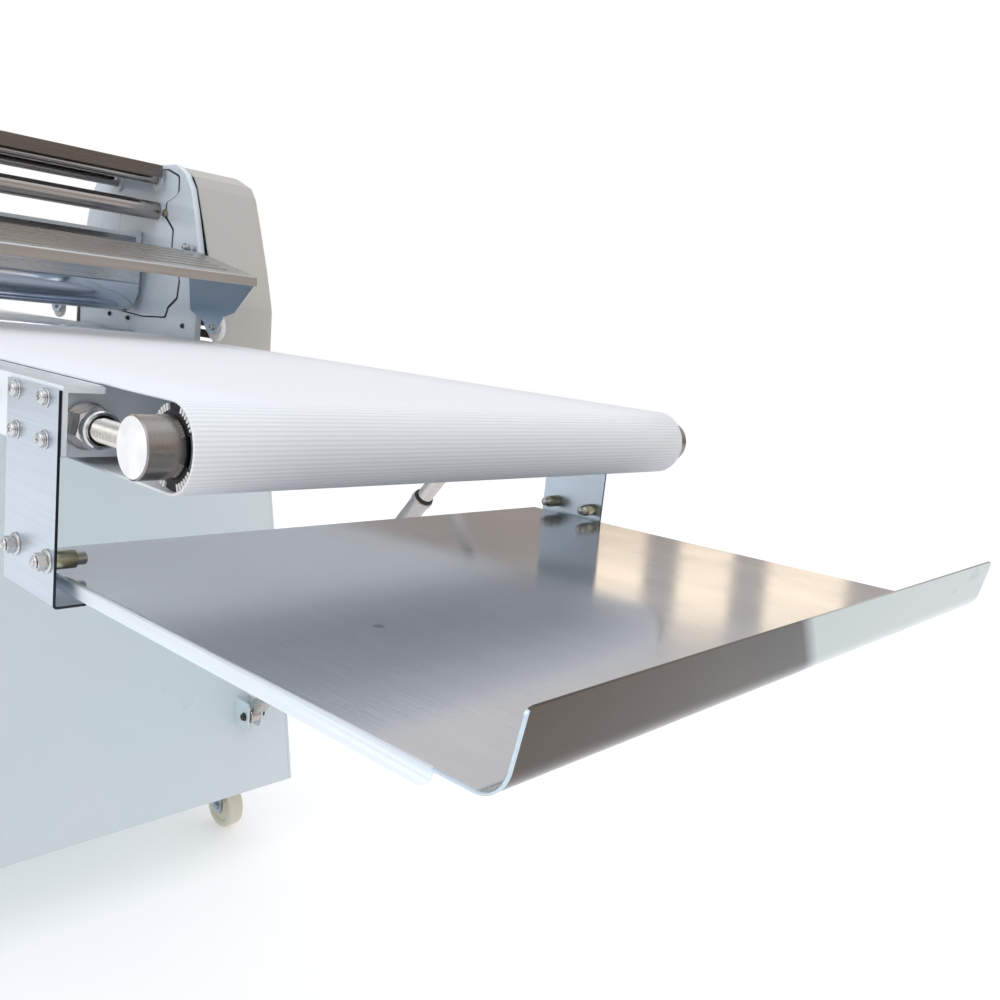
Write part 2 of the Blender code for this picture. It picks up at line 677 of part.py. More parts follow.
def build_head():
    for end, sign in (("front", -1), ("rear", 1)):
        head_plate(f"head_plate_{end}", sign)
        cabinet_panel(f"cabinet_panel_{end}", sign)
    cover_front("head_cover_front")
    cover_rear("head_cover_rear")
    sheeting_roller("lower_roller", LOWER_Z, 258.0, 268.0)
    sheeting_roller("upper_roller", UPPER_Z, 246.0, 256.0)
    roller_carriage("roller_carriage")
    upper_scraper("upper_scraper")
    lower_scraper("lower_scraper")
    top_bar("top_bar_right", 1)
    top_bar("top_bar_left", -1)
    gap_shaft("gap_shaft")
    gap_lever("gap_lever")
    flour_tray("flour_tray")
    push_button("stop_button", 170.0, 40.0, 20.0, (0.6, 0.03, 0.02))
    push_button("start_button", 120.0, 40.0, 13.0, (0.03, 0.35, 0.08))
    direction_lever("direction_lever")
    cabinet_shell("cabinet_shell")
    drive_motor("drive_motor")


clear_scene()
build_table("right", 1)
build_table("left", -1)
build_head()
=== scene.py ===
"""Looks of the dough sheeter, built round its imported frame.

Lengths in the shape code are millimetres in machine axes: x from the head's centre, y from the centre plane and
z from the belt roller axis. A piece becomes metres in the frame's axes when it is made.
"""

import math

import bmesh
import bpy
from mathutils import Matrix, Vector


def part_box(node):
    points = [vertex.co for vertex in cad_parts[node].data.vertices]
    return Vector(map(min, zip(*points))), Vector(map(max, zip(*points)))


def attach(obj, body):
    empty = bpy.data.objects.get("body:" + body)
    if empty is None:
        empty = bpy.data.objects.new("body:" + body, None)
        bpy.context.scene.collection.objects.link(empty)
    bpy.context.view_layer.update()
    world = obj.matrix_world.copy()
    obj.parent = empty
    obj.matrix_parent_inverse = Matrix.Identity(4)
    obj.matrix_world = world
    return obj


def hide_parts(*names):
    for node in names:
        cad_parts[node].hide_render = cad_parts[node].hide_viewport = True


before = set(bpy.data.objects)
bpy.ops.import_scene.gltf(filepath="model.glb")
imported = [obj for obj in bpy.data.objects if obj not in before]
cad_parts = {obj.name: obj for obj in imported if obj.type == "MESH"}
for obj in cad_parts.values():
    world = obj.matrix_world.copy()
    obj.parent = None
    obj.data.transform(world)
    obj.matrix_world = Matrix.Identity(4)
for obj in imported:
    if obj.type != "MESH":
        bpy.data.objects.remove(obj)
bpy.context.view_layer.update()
LOW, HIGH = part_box("nose_roller_right")
NOSE_X = 500.0 * (LOW[0] + HIGH[0])
CENTRE_Y = 500.0 * (LOW[1] + HIGH[1])
AXIS_Z = 500.0 * (LOW[2] + HIGH[2])
LOW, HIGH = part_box("drive_roller_right")
HINGE_X = 500.0 * (LOW[0] + HIGH[0])
TO_FRAME = Matrix.Scale(0.001, 4) @ Matrix.Translation(Vector((0.0, CENTRE_Y, AXIS_Z)))
SIDES = (("right", 1), ("left", -1))
ENDS = (("front", -1), ("rear", 1))
TAU = 2 * math.pi


def machine_box(name):
    """A CAD node's box in machine millimetres: x0, x1, y0, y1, z0, z1."""
    low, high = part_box(name)
    spans = [(1000.0 * a, 1000.0 * b) for a, b in zip(low, high)]
    shifts = (0.0, CENTRE_Y, AXIS_Z)
    return [value - shift for span, shift in zip(spans, shifts) for value in span]


# ---------------------------------------------------------------- materials


class Nodes:
    """Short ways to build one node material."""

    def __init__(self, name):
        self.material = bpy.data.materials.new(name)
        self.material.use_nodes = True
        self.tree = self.material.node_tree
        self.shader = self.tree.nodes["Principled BSDF"]
        self.place = self.tree.nodes.new("ShaderNodeTexCoord")

    def add(self, kind, **values):
        node = self.tree.nodes.new(kind)
        for key, value in values.items():
            if key in node.inputs:
                node.inputs[key].default_value = value
            else:
                setattr(node, key, value)
        return node

    def link(self, source, target):
        self.tree.links.new(source, target)

    def mapped(self, scale, turn=(0.0, 0.0, 0.0), source="Object"):
        node = self.add("ShaderNodeMapping")
        node.inputs["Scale"].default_value = scale
        node.inputs["Rotation"].default_value = turn
        self.link(self.place.outputs[source], node.inputs["Vector"])
        return node.outputs["Vector"]

    def noise(self, vector, scale=1.0, detail=3.0, roughness=0.55):
        node = self.add("ShaderNodeTexNoise")
        node.inputs["Scale"].default_value = scale
        node.inputs["Detail"].default_value = detail
        node.inputs["Roughness"].default_value = roughness
        self.link(vector, node.inputs["Vector"])
        return node.outputs["Fac"]

    def ramp(self, value, low, high, out_low=0.0, out_high=1.0):
        node = self.add("ShaderNodeMapRange", clamp=True)
        for key, number in zip(("From Min", "From Max", "To Min", "To Max"), (low, high, out_low, out_high)):
            node.inputs[key].default_value = number
        self.link(value, node.inputs["Value"])
        return node.outputs["Result"]

    def maths(self, operation, first, second):
        node = self.add("ShaderNodeMath", operation=operation)
        for socket, value in zip(node.inputs, (first, second)):
            if isinstance(value, (int, float)):
                socket.default_value = value
            else:
                self.link(value, socket)
        return node.outputs["Value"]

    def mix(self, factor, first, second):
        node = self.add("ShaderNodeMix", data_type="RGBA")
        for socket, value in ((node.inputs[6], first), (node.inputs[7], second)):
            if isinstance(value, tuple):
                socket.default_value = (*value, 1.0)
            else:
                self.link(value, socket)
        if isinstance(factor, (int, float)):
            node.inputs[0].default_value = factor
        else:
            self.link(factor, node.inputs[0])
        return node.outputs[2]

    def near(self, point, inside, outside):
        """1 within the first distance of a point, falling to 0 at the second."""
        node = self.add("ShaderNodeVectorMath", operation="DISTANCE")
        node.inputs[1].default_value = point
        self.link(self.place.outputs["Object"], node.inputs[0])
        return self.ramp(node.outputs["Value"], inside, outside, 1.0, 0.0)

    def axis(self, index):
        node = self.add("ShaderNodeSeparateXYZ")
        self.link(self.place.outputs["Object"], node.inputs["Vector"])
        return node.outputs[index]

    def bump(self, height, strength, distance):
        node = self.add("ShaderNodeBump")
        node.inputs["Strength"].default_value = strength
        node.inputs["Distance"].default_value = distance
        self.link(height, node.inputs["Height"])
        self.link(node.outputs["Normal"], self.shader.inputs["Normal"])

    def finish(self, colour=None, rough=None, **constants):
        for name, value in constants.items():
            self.shader.inputs[name.replace("_", " ")].default_value = value
        for name, value in (("Base Color", colour), ("Roughness", rough)):
            if isinstance(value, tuple):
                self.shader.inputs[name].default_value = (*value, 1.0)
            elif isinstance(value, float):
                self.shader.inputs[name].default_value = value
            elif value is not None:
                self.link(value, self.shader.inputs[name])
        return self.material


def brushed(name, colour, rough, along=(4.0, 900.0, 900.0), scratches=0.3, lines=0.06, smear=0.03, relief=0.05):
    """Metal with a fine grain, a few scratches along it and faint cloudy wear."""
    n = Nodes(name)
    grain = n.noise(n.mapped(along), 1.0, 4.0, 0.6)
    cloud = n.noise(n.mapped((7.0, 7.0, 7.0)), 1.0, 3.0)
    marks = n.ramp(n.noise(n.mapped(tuple(0.4 * a for a in along)), 1.0, 1.0), 0.72, 0.80, 0.0, scratches)
    dark = tuple(0.86 * c for c in colour)
    base = n.mix(n.ramp(grain, 0.3, 0.7), dark, colour)
    base = n.mix(marks, base, tuple(min(1.0, 1.25 * c) for c in colour))
    base = n.mix(n.ramp(cloud, 0.35, 0.7, 0.0, 0.2), base, dark)
    wear = n.ramp(grain, 0.25, 0.75, rough - lines / 2, rough + lines / 2)
    wear = n.maths("ADD", wear, n.ramp(cloud, 0.3, 0.7, -smear, smear))
    n.bump(grain, relief, 0.0003)
    return n.finish(base, wear, Metallic=1.0)


def tray_steel(name, colour, rough, lip=False, haze=0.0):
    """Cold-rolled stainless sheet, scratched along the tray, with smudges; the lip carries a painted reflection, dark
    on its near part and light beyond, and the floor has a painted dark reflection spot and painted shade towards its
    back under the belt.
    """
    n = Nodes(name)
    grain = n.noise(n.mapped((3.0, 1000.0, 1000.0)), 1.0, 4.0, 0.6)
    band = n.noise(n.mapped((0.8, 45.0, 45.0)), 1.0, 3.0)
    smudge = n.noise(n.mapped((9.0, 14.0, 30.0)), 1.0, 3.0)
    marks = n.ramp(n.noise(n.mapped((9.0, 1300.0, 1300.0), (0.0, 0.0, 0.03)), 1.0, 1.0), 0.71, 0.80, 0.0, 0.55)
    dark = tuple(0.84 * c for c in colour)
    base = n.mix(n.ramp(grain, 0.3, 0.7), dark, colour)
    base = n.mix(n.ramp(band, 0.35, 0.65, 0.0, 0.35), base, dark)
    base = n.mix(marks, base, tuple(min(1.0, 1.5 * c) for c in colour))
    if lip:
        # Painted reflection on the lip: darker still on the near part, then light past a slanted line across it.
        painted_reflection_sweep = n.maths("ADD", n.axis(1), n.maths("MULTIPLY", n.axis(2), 0.9))
        edge = (CENTRE_Y + AXIS_Z * 0.9 - 94.0) * 0.001
        base = n.mix(n.ramp(painted_reflection_sweep, edge - 0.085, edge - 0.02, 0.0, 0.75), base, (0.05, 0.055, 0.055))
        base = n.mix(n.ramp(painted_reflection_sweep, edge - 0.004, edge + 0.012), base, (0.475, 0.52, 0.505))
        base = n.mix(n.ramp(smudge, 0.62, 0.70, 0.0, 0.35), base, dark)
    else:
        # Painted reflection: a small dark spot on the tray floor.
        painted_reflection_spot = n.near(TO_FRAME @ Vector((1180.0, -168.0, -92.0)), 0.0025, 0.0045)
        base = n.mix(n.maths("MULTIPLY", painted_reflection_spot, 0.75), base, (0.16, 0.15, 0.15))
        # Painted shade: the tray floor is darker towards its back end under the belt.
        painted_shade_under_belt = n.ramp(n.maths("ABSOLUTE", n.axis(0), 0.0), 0.93, 1.22, 0.55, 0.0)
        base = n.mix(painted_shade_under_belt, base, tuple(0.4 * c for c in colour))
    wear = n.maths("ADD", n.ramp(grain, 0.25, 0.75, rough - 0.02, rough + 0.03), n.ramp(smudge, 0.35, 0.7, -0.02, 0.03))
    n.bump(grain, 0.03, 0.0003)
    return n.finish(base, wear, Metallic=1.0 - haze)


def painted(name, colour, rough, coat=0.3, peel=0.03, tint=None):
    """Stoved paint with orange peel and faint cloudy tone."""
    n = Nodes(name)
    fine = n.noise(n.mapped((420.0, 420.0, 420.0)), 1.0, 2.0)
    cloud = n.noise(n.mapped((3.0, 3.0, 3.0)), 1.0, 3.0)
    dust = n.ramp(n.noise(n.mapped((90.0, 90.0, 90.0)), 1.0, 5.0), 0.66, 0.74, 0.0, 0.12)
    other = tint or tuple(0.94 * c for c in colour)
    base = n.mix(n.ramp(cloud, 0.35, 0.68), colour, other)
    base = n.mix(dust, base, tuple(0.72 * c for c in colour))
    n.bump(fine, peel, 0.0006)
    return n.finish(base, n.ramp(cloud, 0.3, 0.7, rough - 0.03, rough + 0.05), Coat_Weight=coat, Coat_Roughness=0.12)


def plastic(name, colour, rough, bump=0.04, grain=700.0):
    n = Nodes(name)
    fine = n.noise(n.mapped((grain, grain, grain)), 1.0, 2.0)
    cloud = n.noise(n.mapped((22.0, 22.0, 22.0)), 1.0, 3.0)
    base = n.mix(n.ramp(cloud, 0.35, 0.7, 0.0, 0.6), colour, tuple(0.86 * c for c in colour))
    n.bump(fine, bump, 0.0004)
    return n.finish(base, n.ramp(cloud, 0.3, 0.7, rough - 0.04, rough + 0.08))


def woven_belt():
    """Cross ribs 1.5 mm apart over a fine weave, from the belt's own running length and width."""
    n = Nodes("belt_weave")
    run = n.mapped((1.0, 1.0, 1.0), source="UV")
    ribs = n.add("ShaderNodeTexWave", wave_type="BANDS", bands_direction="X", wave_profile="SIN")
    ribs.inputs["Scale"].default_value = 105.0
    ribs.inputs["Distortion"].default_value = 0.25
    ribs.inputs["Detail"].default_value = 1.0
    n.link(run, ribs.inputs["Vector"])
    cross = n.add("ShaderNodeTexWave", wave_type="BANDS", bands_direction="Y", wave_profile="SIN")
    cross.inputs["Scale"].default_value = 150.0
    n.link(run, cross.inputs["Vector"])
    fuzz = n.noise(n.mapped((900.0, 900.0, 900.0)), 1.0, 3.0)
    cloud = n.noise(n.mapped((5.0, 5.0, 5.0)), 1.0, 4.0)
    lengthwise = n.maths("MULTIPLY", ribs.outputs["Fac"], 0.8)
    weave = n.maths("ADD", lengthwise, n.maths("MULTIPLY", cross.outputs["Fac"], 0.10))
    height = n.maths("ADD", weave, n.maths("MULTIPLY", fuzz, 0.3))
    base = n.mix(n.ramp(weave, 0.1, 0.7), (0.76, 0.79, 0.83), (0.88, 0.90, 0.92))
    base = n.mix(n.ramp(cloud, 0.4, 0.75, 0.0, 0.3), base, (0.83, 0.84, 0.85))
    n.bump(height, 0.25, 0.0004)
    return n.finish(base, 0.72, Sheen_Weight=0.15, Sheen_Roughness=0.4)


def guard_steel():
    """Brushed brown-grey sheet whose end cheeks, facing along y, are painted bluer as painted shade."""
    n = Nodes("guard_steel")
    grain = n.noise(n.mapped((600.0, 4.0, 600.0)), 1.0, 4.0, 0.6)
    cloud = n.noise(n.mapped((7.0, 7.0, 7.0)), 1.0, 3.0)
    marks = n.ramp(n.noise(n.mapped((240.0, 1.6, 240.0)), 1.0, 1.0), 0.72, 0.80, 0.0, 0.4)
    normal = n.add("ShaderNodeSeparateXYZ")
    n.link(n.place.outputs["Normal"], normal.inputs["Vector"])
    # Painted shade: faces turned along y, the end cheeks, take a bluer colour.
    painted_cheek_shade = n.ramp(n.maths("ABSOLUTE", normal.outputs["Y"], 0.0), 0.6, 0.9)
    base = n.mix(n.ramp(grain, 0.3, 0.7), (0.44, 0.43, 0.415), (0.54, 0.525, 0.51))
    base = n.mix(painted_cheek_shade, base, (0.48, 0.60, 0.71))
    base = n.mix(marks, base, (0.62, 0.59, 0.56))
    n.bump(grain, 0.05, 0.0003)
    return n.finish(base, n.ramp(cloud, 0.3, 0.7, 0.24, 0.31), Metallic=1.0)


def turned(name, colour, rough):
    """Lathe-turned end: fine rings about the roller axis."""
    n = Nodes(name)
    fine = n.noise(n.mapped((60.0, 2600.0, 60.0)), 1.0, 3.0)
    cloud = n.noise(n.mapped((60.0, 60.0, 60.0)), 1.0, 4.0)
    base = n.mix(n.ramp(fine, 0.3, 0.7), tuple(0.86 * c for c in colour), colour)
    n.bump(fine, 0.08, 0.0003)
    return n.finish(base, n.ramp(cloud, 0.3, 0.7, rough - 0.05, rough + 0.08), Metallic=1.0)


def make_materials():
    return {
        "tray": tray_steel("tray_steel", (0.55, 0.575, 0.61), 0.11, haze=0.33),
        # The lip's very dark colour is painted reflection.
        "lip": tray_steel("tray_lip_painted_reflection", (0.108, 0.091, 0.077), 0.12, True),
        # Painted light: the side flanges are a lighter, bluer copy of the tray's steel.
        "flange": brushed("tray_flange_painted_light", (0.81, 0.87, 0.92), 0.32, (5.0, 900.0, 900.0), 0.2),
        "cut_edge": brushed("sheet_cut_edge", (0.62, 0.72, 0.80), 0.34, (300.0, 300.0, 300.0), 0.1),
        "dark_edge": brushed("dark_cut_edge", (0.035, 0.04, 0.05), 0.4, (300.0, 300.0, 300.0), 0.1),
        "sheet": brushed("sheet_steel", (0.66, 0.68, 0.71), 0.28, (300.0, 5.0, 300.0), 0.2),
        "bracket": brushed("bracket_steel", (0.62, 0.69, 0.76), 0.33, (5.0, 700.0, 700.0), 0.25),
        "guard": guard_steel(),
        "tube": brushed("strut_steel", (0.60, 0.56, 0.53), 0.24, (200.0, 200.0, 200.0), 0.1),
        "sleeve": brushed("strut_sleeve_steel", (0.53, 0.50, 0.48), 0.28, (200.0, 200.0, 200.0), 0.1),
        "bar": brushed("dark_ground_bar", (0.39, 0.362, 0.345), 0.22, (600.0, 5.0, 600.0), 0.3),
        # Painted shade: the flour tray is given a dark brown-grey for the shade it stands in.
        "painted_shade_sheet": brushed("painted_shade_sheet", (0.21, 0.19, 0.178), 0.28, (600.0, 5.0, 600.0), 0.3),
        "roller": brushed("chromed_roller", (0.72, 0.77, 0.86), 0.13, (600.0, 5.0, 600.0), 0.1, 0.03, 0.02, 0.02),
        "turned": turned("turned_cap", (0.32, 0.29, 0.27), 0.25),
        # Painted highlight: the cap's end face is near white while its turned sides stay dark brown-grey.
        "cap_face": turned("cap_face_painted_highlight", (1.0, 1.0, 1.0), 0.5),
        "thread": brushed("threaded_stud", (0.72, 0.69, 0.64), 0.26, (300.0, 300.0, 300.0), 0.1),
        # Painted shade for the thread's roots.
        "groove": brushed("thread_root_painted_shade", (0.26, 0.245, 0.23), 0.34, (300.0, 300.0, 300.0), 0.1),
        "bolt": brushed("bolt_steel", (0.66, 0.66, 0.66), 0.22, (400.0, 400.0, 400.0), 0.2),
        "yellow_zinc": brushed("yellow_zinc", (0.42, 0.40, 0.28), 0.33, (400.0, 400.0, 400.0), 0.2),
        "blue_zinc": brushed("blue_zinc", (0.55, 0.62, 0.66), 0.34, (300.0, 300.0, 300.0), 0.2),
        "table_white": painted("table_white", (0.76, 0.81, 0.85), 0.28, 0.4),
        "plate_white": painted("plate_white", (0.77, 0.84, 0.89), 0.26, 0.5, 0.02, (0.70, 0.79, 0.86)),
        "cover": painted("cover_beige_grey", (0.50, 0.49, 0.455), 0.40, 0.15, 0.04),
        "cabinet": painted("cabinet_grey_blue", (0.63, 0.74, 0.79), 0.30, 0.35, 0.03, (0.67, 0.74, 0.76)),
        "motor": painted("motor_enamel", (0.03, 0.035, 0.04), 0.35),
        "belt": woven_belt(),
        "nylon": plastic("nylon_cream", (0.74, 0.70, 0.58), 0.42),
        "white_nylon": plastic("nylon_white", (0.86, 0.86, 0.84), 0.40),
        # Black moulded plastic; also painted shade in the screw recesses and deep in the ring round the nose stud.
        "black": plastic("black_moulded_and_painted_shade", (0.02, 0.021, 0.023), 0.38),
        # Black rubber for the roller bushes and strut wiper; also painted shade round the head housings and in the
        # louvre slots.
        "rubber": plastic("seal_rubber_and_painted_shade", (0.012, 0.015, 0.018), 0.62, 0.08, 420.0),
        "slate": plastic("slate_block", (0.10, 0.125, 0.15), 0.36, 0.02),
        "red": plastic("red_moulded", (0.55, 0.02, 0.015), 0.28, 0.02),
        "green": plastic("green_moulded", (0.02, 0.30, 0.07), 0.30, 0.02),
        "yellow": plastic("yellow_moulded", (0.75, 0.50, 0.03), 0.34, 0.02),
    }


# ---------------------------------------------------------------- shapes


class Shape:
    """Gathers closed surfaces in millimetres, each face with a material key."""

    def __init__(self):
        self.points, self.faces, self.keys = [], [], []

    def add(self, points, faces, key):
        base = len(self.points)
        self.points += [Vector(p) for p in points]
        self.faces += [[base + i for i in face] for face in faces]
        self.keys += [key] * len(faces)
        return self

    def rings(self, rings, key, loop=False, caps=True):
        """Joins rings of equal length; loop closes the last ring on the first."""
        count = len(rings[0])
        faces = []
        for i in range(len(rings) - (0 if loop else 1)):
            a, b = i * count, (i + 1) % len(rings) * count
            for j in range(count):
                k = (j + 1) % count
                faces.append([a + j, a + k, b + k, b + j])
        if caps and not loop:
            faces.append(list(range(count))[::-1])
            faces.append([(len(rings) - 1) * count + j for j in range(count)])
        return self.add([p for ring in rings for p in ring], faces, key)

    def lathe(self, axis, u, v, profile, key, sides=48):
        """Turns (along, radius) points about an axis through (u, v)."""
        rings = []
        for at, radius in profile:
            ring = []
            for i in range(sides):
                a, b = u + radius * math.cos(TAU * i / sides), v + radius * math.sin(TAU * i / sides)
                ring.append(to_axis(axis, at, a, b))
            rings.append(ring)
        return self.rings(rings, key)

    def tube(self, axis, u, v, outer, inner, low, high, key, sides=48, soft=0.5):
        profile = [
            (low, inner), (low, outer - soft), (low + soft, outer), (high - soft, outer), (high, outer - soft),
            (high, inner),
        ]
        rings = [
            [
                to_axis(axis, at, u + r * math.cos(TAU * i / sides), v + r * math.sin(TAU * i / sides))
                for i in range(sides)
            ]
            for at, r in profile
        ]
        return self.rings(rings, key, loop=True)

    def prism(self, axis, outline, low, high, key):
        ring = [[to_axis(axis, at, u, v) for u, v in outline] for at in (low, high)]
        return self.rings(ring, key)

    def box(self, x0, x1, y0, y1, z0, z1, key):
        return self.prism("y", [(x0, z0), (x1, z0), (x1, z1), (x0, z1)], y0, y1, key)

    def moved(self, matrix):
        self.points = [matrix @ p for p in self.points]
        return self

    def join(self, other, matrix=None):
        points = other.points if matrix is None else [matrix @ p for p in other.points]
        base = len(self.points)
        self.points += points
        self.faces += [[base + i for i in face] for face in other.faces]
        self.keys += other.keys
        return self


def to_axis(axis, at, u, v):
    """A point at a height along the axis, (u, v) being the other two in XYZ order."""
    if axis == "x":
        return (at, u, v)
    if axis == "y":
        return (u, at, v)
    return (u, v, at)


def offset_line(line, distance):
    result = []
    for i, point in enumerate(line):
        before, after = line[max(i - 1, 0)], line[min(i + 1, len(line) - 1)]
        first = Vector(point) - Vector(before) if i else Vector(after) - Vector(point)
        second = Vector(after) - Vector(point) if i < len(line) - 1 else first
        normal_a = Vector((first[1], -first[0])).normalized()
        normal_b = Vector((second[1], -second[0])).normalized()
        middle = (normal_a + normal_b).normalized()
        stretch = distance / max(0.5, middle.dot(normal_a))
        result.append((point[0] + middle[0] * stretch, point[1] + middle[1] * stretch))
    return result


def rounded(outline, radius, steps=6):
    """An outline or line with its corners rounded; a radius list gives each corner its own."""
    radii = radius if isinstance(radius, (list, tuple)) else [radius] * len(outline)
    result = []
    for i, corner in enumerate(outline):
        a, b, c = Vector(outline[i - 1]), Vector(corner), Vector(outline[(i + 1) % len(outline)])
        if radii[i] <= 0:
            result.append(tuple(b))
            continue
        before, after = (a - b), (c - b)
        half = before.angle(after) / 2
        reach = min(radii[i] / math.tan(half), before.length * 0.49, after.length * 0.49)
        start, end = b + before.normalized() * reach, b + after.normalized() * reach
        real = reach * math.tan(half)
        centre = b + (before.normalized() + after.normalized()).normalized() * (real / math.sin(half))
        first = math.atan2(*(start - centre).yx)
        turn = (math.atan2(*(end - centre).yx) - first + math.pi) % TAU - math.pi
        for j in range(steps + 1):
            angle = first + turn * j / steps
            result.append((centre[0] + real * math.cos(angle), centre[1] + real * math.sin(angle)))
    return result


def piece(name, shape, body, side=1, replaces=(), bevel=0.0, segments=2, sharp=34.0, uv=None):
    """Makes the object, mirrored for the left-hand side, and lets it ride on a CAD body."""
    mesh = bpy.data.meshes.new(name)
    flip = Matrix.Diagonal((side, 1.0, 1.0, 1.0))
    mesh.from_pydata([TO_FRAME @ flip @ p for p in shape.points], [], shape.faces)
    keys = sorted(set(shape.keys))
    for key in keys:
        mesh.materials.append(MATERIALS[key])
    mesh.polygons.foreach_set("material_index", [keys.index(key) for key in shape.keys])
    work = bmesh.new()
    work.from_mesh(mesh)
    bmesh.ops.recalc_face_normals(work, faces=work.faces)
    work.to_mesh(mesh)
    work.free()
    if uv:
        layer = mesh.uv_layers.new(name="run")
        for loop in mesh.loops:
            layer.data[loop.index].uv = uv(loop.vertex_index)
    obj = bpy.data.objects.new(name, mesh)
    bpy.context.scene.collection.objects.link(obj)
    soften(obj, bevel, segments, sharp)
    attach(obj, body)
    if replaces:
        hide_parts(*replaces)
    return obj


def soften(obj, bevel, segments=2, sharp=34.0):
    mesh = obj.data
    mesh.polygons.foreach_set("use_smooth", [True] * len(mesh.polygons))
    mesh.set_sharp_from_angle(angle=math.radians(sharp))
    if bevel:
        modifier = obj.modifiers.new("edge", "BEVEL")
        modifier.width = bevel * 0.001
        modifier.segments = segments
        modifier.limit_method = "ANGLE"
        modifier.angle_limit = math.radians(sharp)
        modifier.harden_normals = True
        modifier.use_clamp_overlap = True


def facing(axis, x, y, z):
    """A placement whose local +Z leaves the surface along the axis."""
    turns = {
        "+y": Matrix.Rotation(-math.pi / 2, 4, "X"), "-y": Matrix.Rotation(math.pi / 2, 4, "X"),
        "+x": Matrix.Rotation(math.pi / 2, 4, "Y"), "-x": Matrix.Rotation(-math.pi / 2, 4, "Y"),
        "+z": Matrix.Identity(4), "-z": Matrix.Rotation(math.pi, 4, "X"),
    }
    return Matrix.Translation(Vector((x, y, z))) @ turns[axis]


# ---------------------------------------------------------------- hardware


def hexagon(apothem, height, key, sides=48, hole=0.0, chamfer=0.5):
    """A nut or bolt head on z=0, its corners chamfered as turned."""
    shape = Shape()
    rim = []
    for i in range(sides):
        angle = TAU * i / sides
        local = (angle + math.pi / 6) % (math.pi / 3) - math.pi / 6
        rim.append((angle, apothem / math.cos(local)))
    inner = max(hole, 0.01)

    def ring(z, radius=None):
        points = []
        for angle, reach in rim:
            r = reach if radius is None else radius
            points.append((r * math.cos(angle), r * math.sin(angle), z))
        return points

    def clipped(z, sign):
        return [
            (reach * math.cos(a), reach * math.sin(a), z - sign * (reach - apothem * 0.985) * chamfer)
            for a, reach in rim
        ]

    rings = [ring(0.0, inner), ring(0.0, apothem * 0.985), clipped(0.0, -1), clipped(height, 1)]
    rings += [ring(height, apothem * 0.985), ring(height, inner)]
    if hole:
        return shape.rings(rings, key, loop=True)
    return shape.rings(rings, key)


def washer(radius, hole, thickness, key):
    return Shape().tube("z", 0.0, 0.0, radius, hole, 0.0, thickness, key, 32, 0.25)


def pan_screw(radius, key="bolt"):
    """A domed cross-recess screw on its spring washer and flat washer."""
    shape = Shape()
    shape.join(washer(radius * 1.26, radius * 0.5, 0.8, key))
    shape.join(Shape().tube("z", 0.0, 0.0, radius * 1.02, radius * 0.5, 0.95, 1.9, key, 32, 0.2))
    base = 2.05
    rise = ((0.0, 1.0), (0.35, 0.99), (0.7, 0.93), (0.9, 0.82), (1.0, 0.66), (1.04, 0.4), (1.06, 0.02))
    dome = [(base + radius * 0.5 * h, radius * w) for h, w in rise]
    shape.lathe("z", 0.0, 0.0, [(base, radius * 0.9), *dome], key, 32)
    top = dome[-1][0]
    # Painted shade: the cross recess is a black cross set into the dome.
    for turn in (0.0, math.pi / 2):
        slot = Shape().box(-radius * 0.42, radius * 0.42, -radius * 0.08, radius * 0.08, top - 0.6, top + 0.05, "black")
        shape.join(slot, Matrix.Rotation(turn + 0.5, 4, "Z"))
    return shape


def lock_nut(apothem, stud, key="bolt"):
    """A nut with its nylon collar and the stud's end standing proud, on a washer."""
    height = apothem * 1.15
    shape = washer(apothem * 1.5, stud * 0.9, 1.2, key)
    shape.join(hexagon(apothem, height, key, hole=stud * 0.9), Matrix.Translation((0, 0, 1.2)))
    shape.join(Shape().tube("z", 0.0, 0.0, apothem * 0.84, stud * 0.92, height + 1.2, height + 2.9, key, 32, 0.8))
    end = [(0.0, stud * 0.88), (height + 3.2, stud * 0.88), (height + 3.9, stud * 0.6), (height + 4.0, 0.02)]
    return shape.lathe("z", 0.0, 0.0, end, key, 24)


def thread(radius, root, pitch, length, key, sides=28, per_turn=6):
    """A stud with a real helical thread, standing on z=0, its roots painted darker as painted shade."""
    rings = []
    steps = int(length / pitch * per_turn)
    for i in range(steps + 1):
        z = length * i / steps
        ring = []
        for j in range(sides):
            phase = (z / pitch - j / sides) % 1.0
            depth = abs(2.0 * phase - 1.0)
            r = root + (radius - root) * min(1.0, max(0.0, 1.35 * depth - 0.15))
            ring.append((r * math.cos(TAU * j / sides), r * math.sin(TAU * j / sides), z))
        rings.append(ring)
    stud = Shape().rings(rings, key)
    # Painted shade: faces near the thread's root take the darker colour.
    for i, face in enumerate(stud.faces[: steps * sides]):
        reach = sum(math.hypot(stud.points[p][0], stud.points[p][1]) for p in face) / len(face)
        if reach < root + 0.5 * (radius - root):
            stud.keys[i] = "groove"
    return stud


# ---------------------------------------------------------------- tables

BELT_OUT, BELT_IN, BELT_HALF = 28.4, 26.4, 252.0
PLATE_FACE, STUD_Y, CAP_R = 989.0, 260.0, 19.0


def belt_line(radius, arc=40, run=60):
    """Points round the loop with the length run so far."""
    points, length = [], 0.0
    straight = NOSE_X - HINGE_X
    for i in range(run):
        points.append(((HINGE_X + straight * i / run, radius), straight * i / run))
    for i in range(arc):
        a = math.pi / 2 - math.pi * i / arc
        points.append(((NOSE_X + radius * math.cos(a), radius * math.sin(a)), straight + radius * math.pi * i / arc))
    length = straight + radius * math.pi
    for i in range(run):
        points.append(((NOSE_X - straight * i / run, -radius), length + straight * i / run))
    for i in range(arc):
        a = -math.pi / 2 - math.pi * i / arc
        there = length + straight + radius * math.pi * i / arc
        points.append(((HINGE_X + radius * math.cos(a), radius * math.sin(a)), there))
    return points


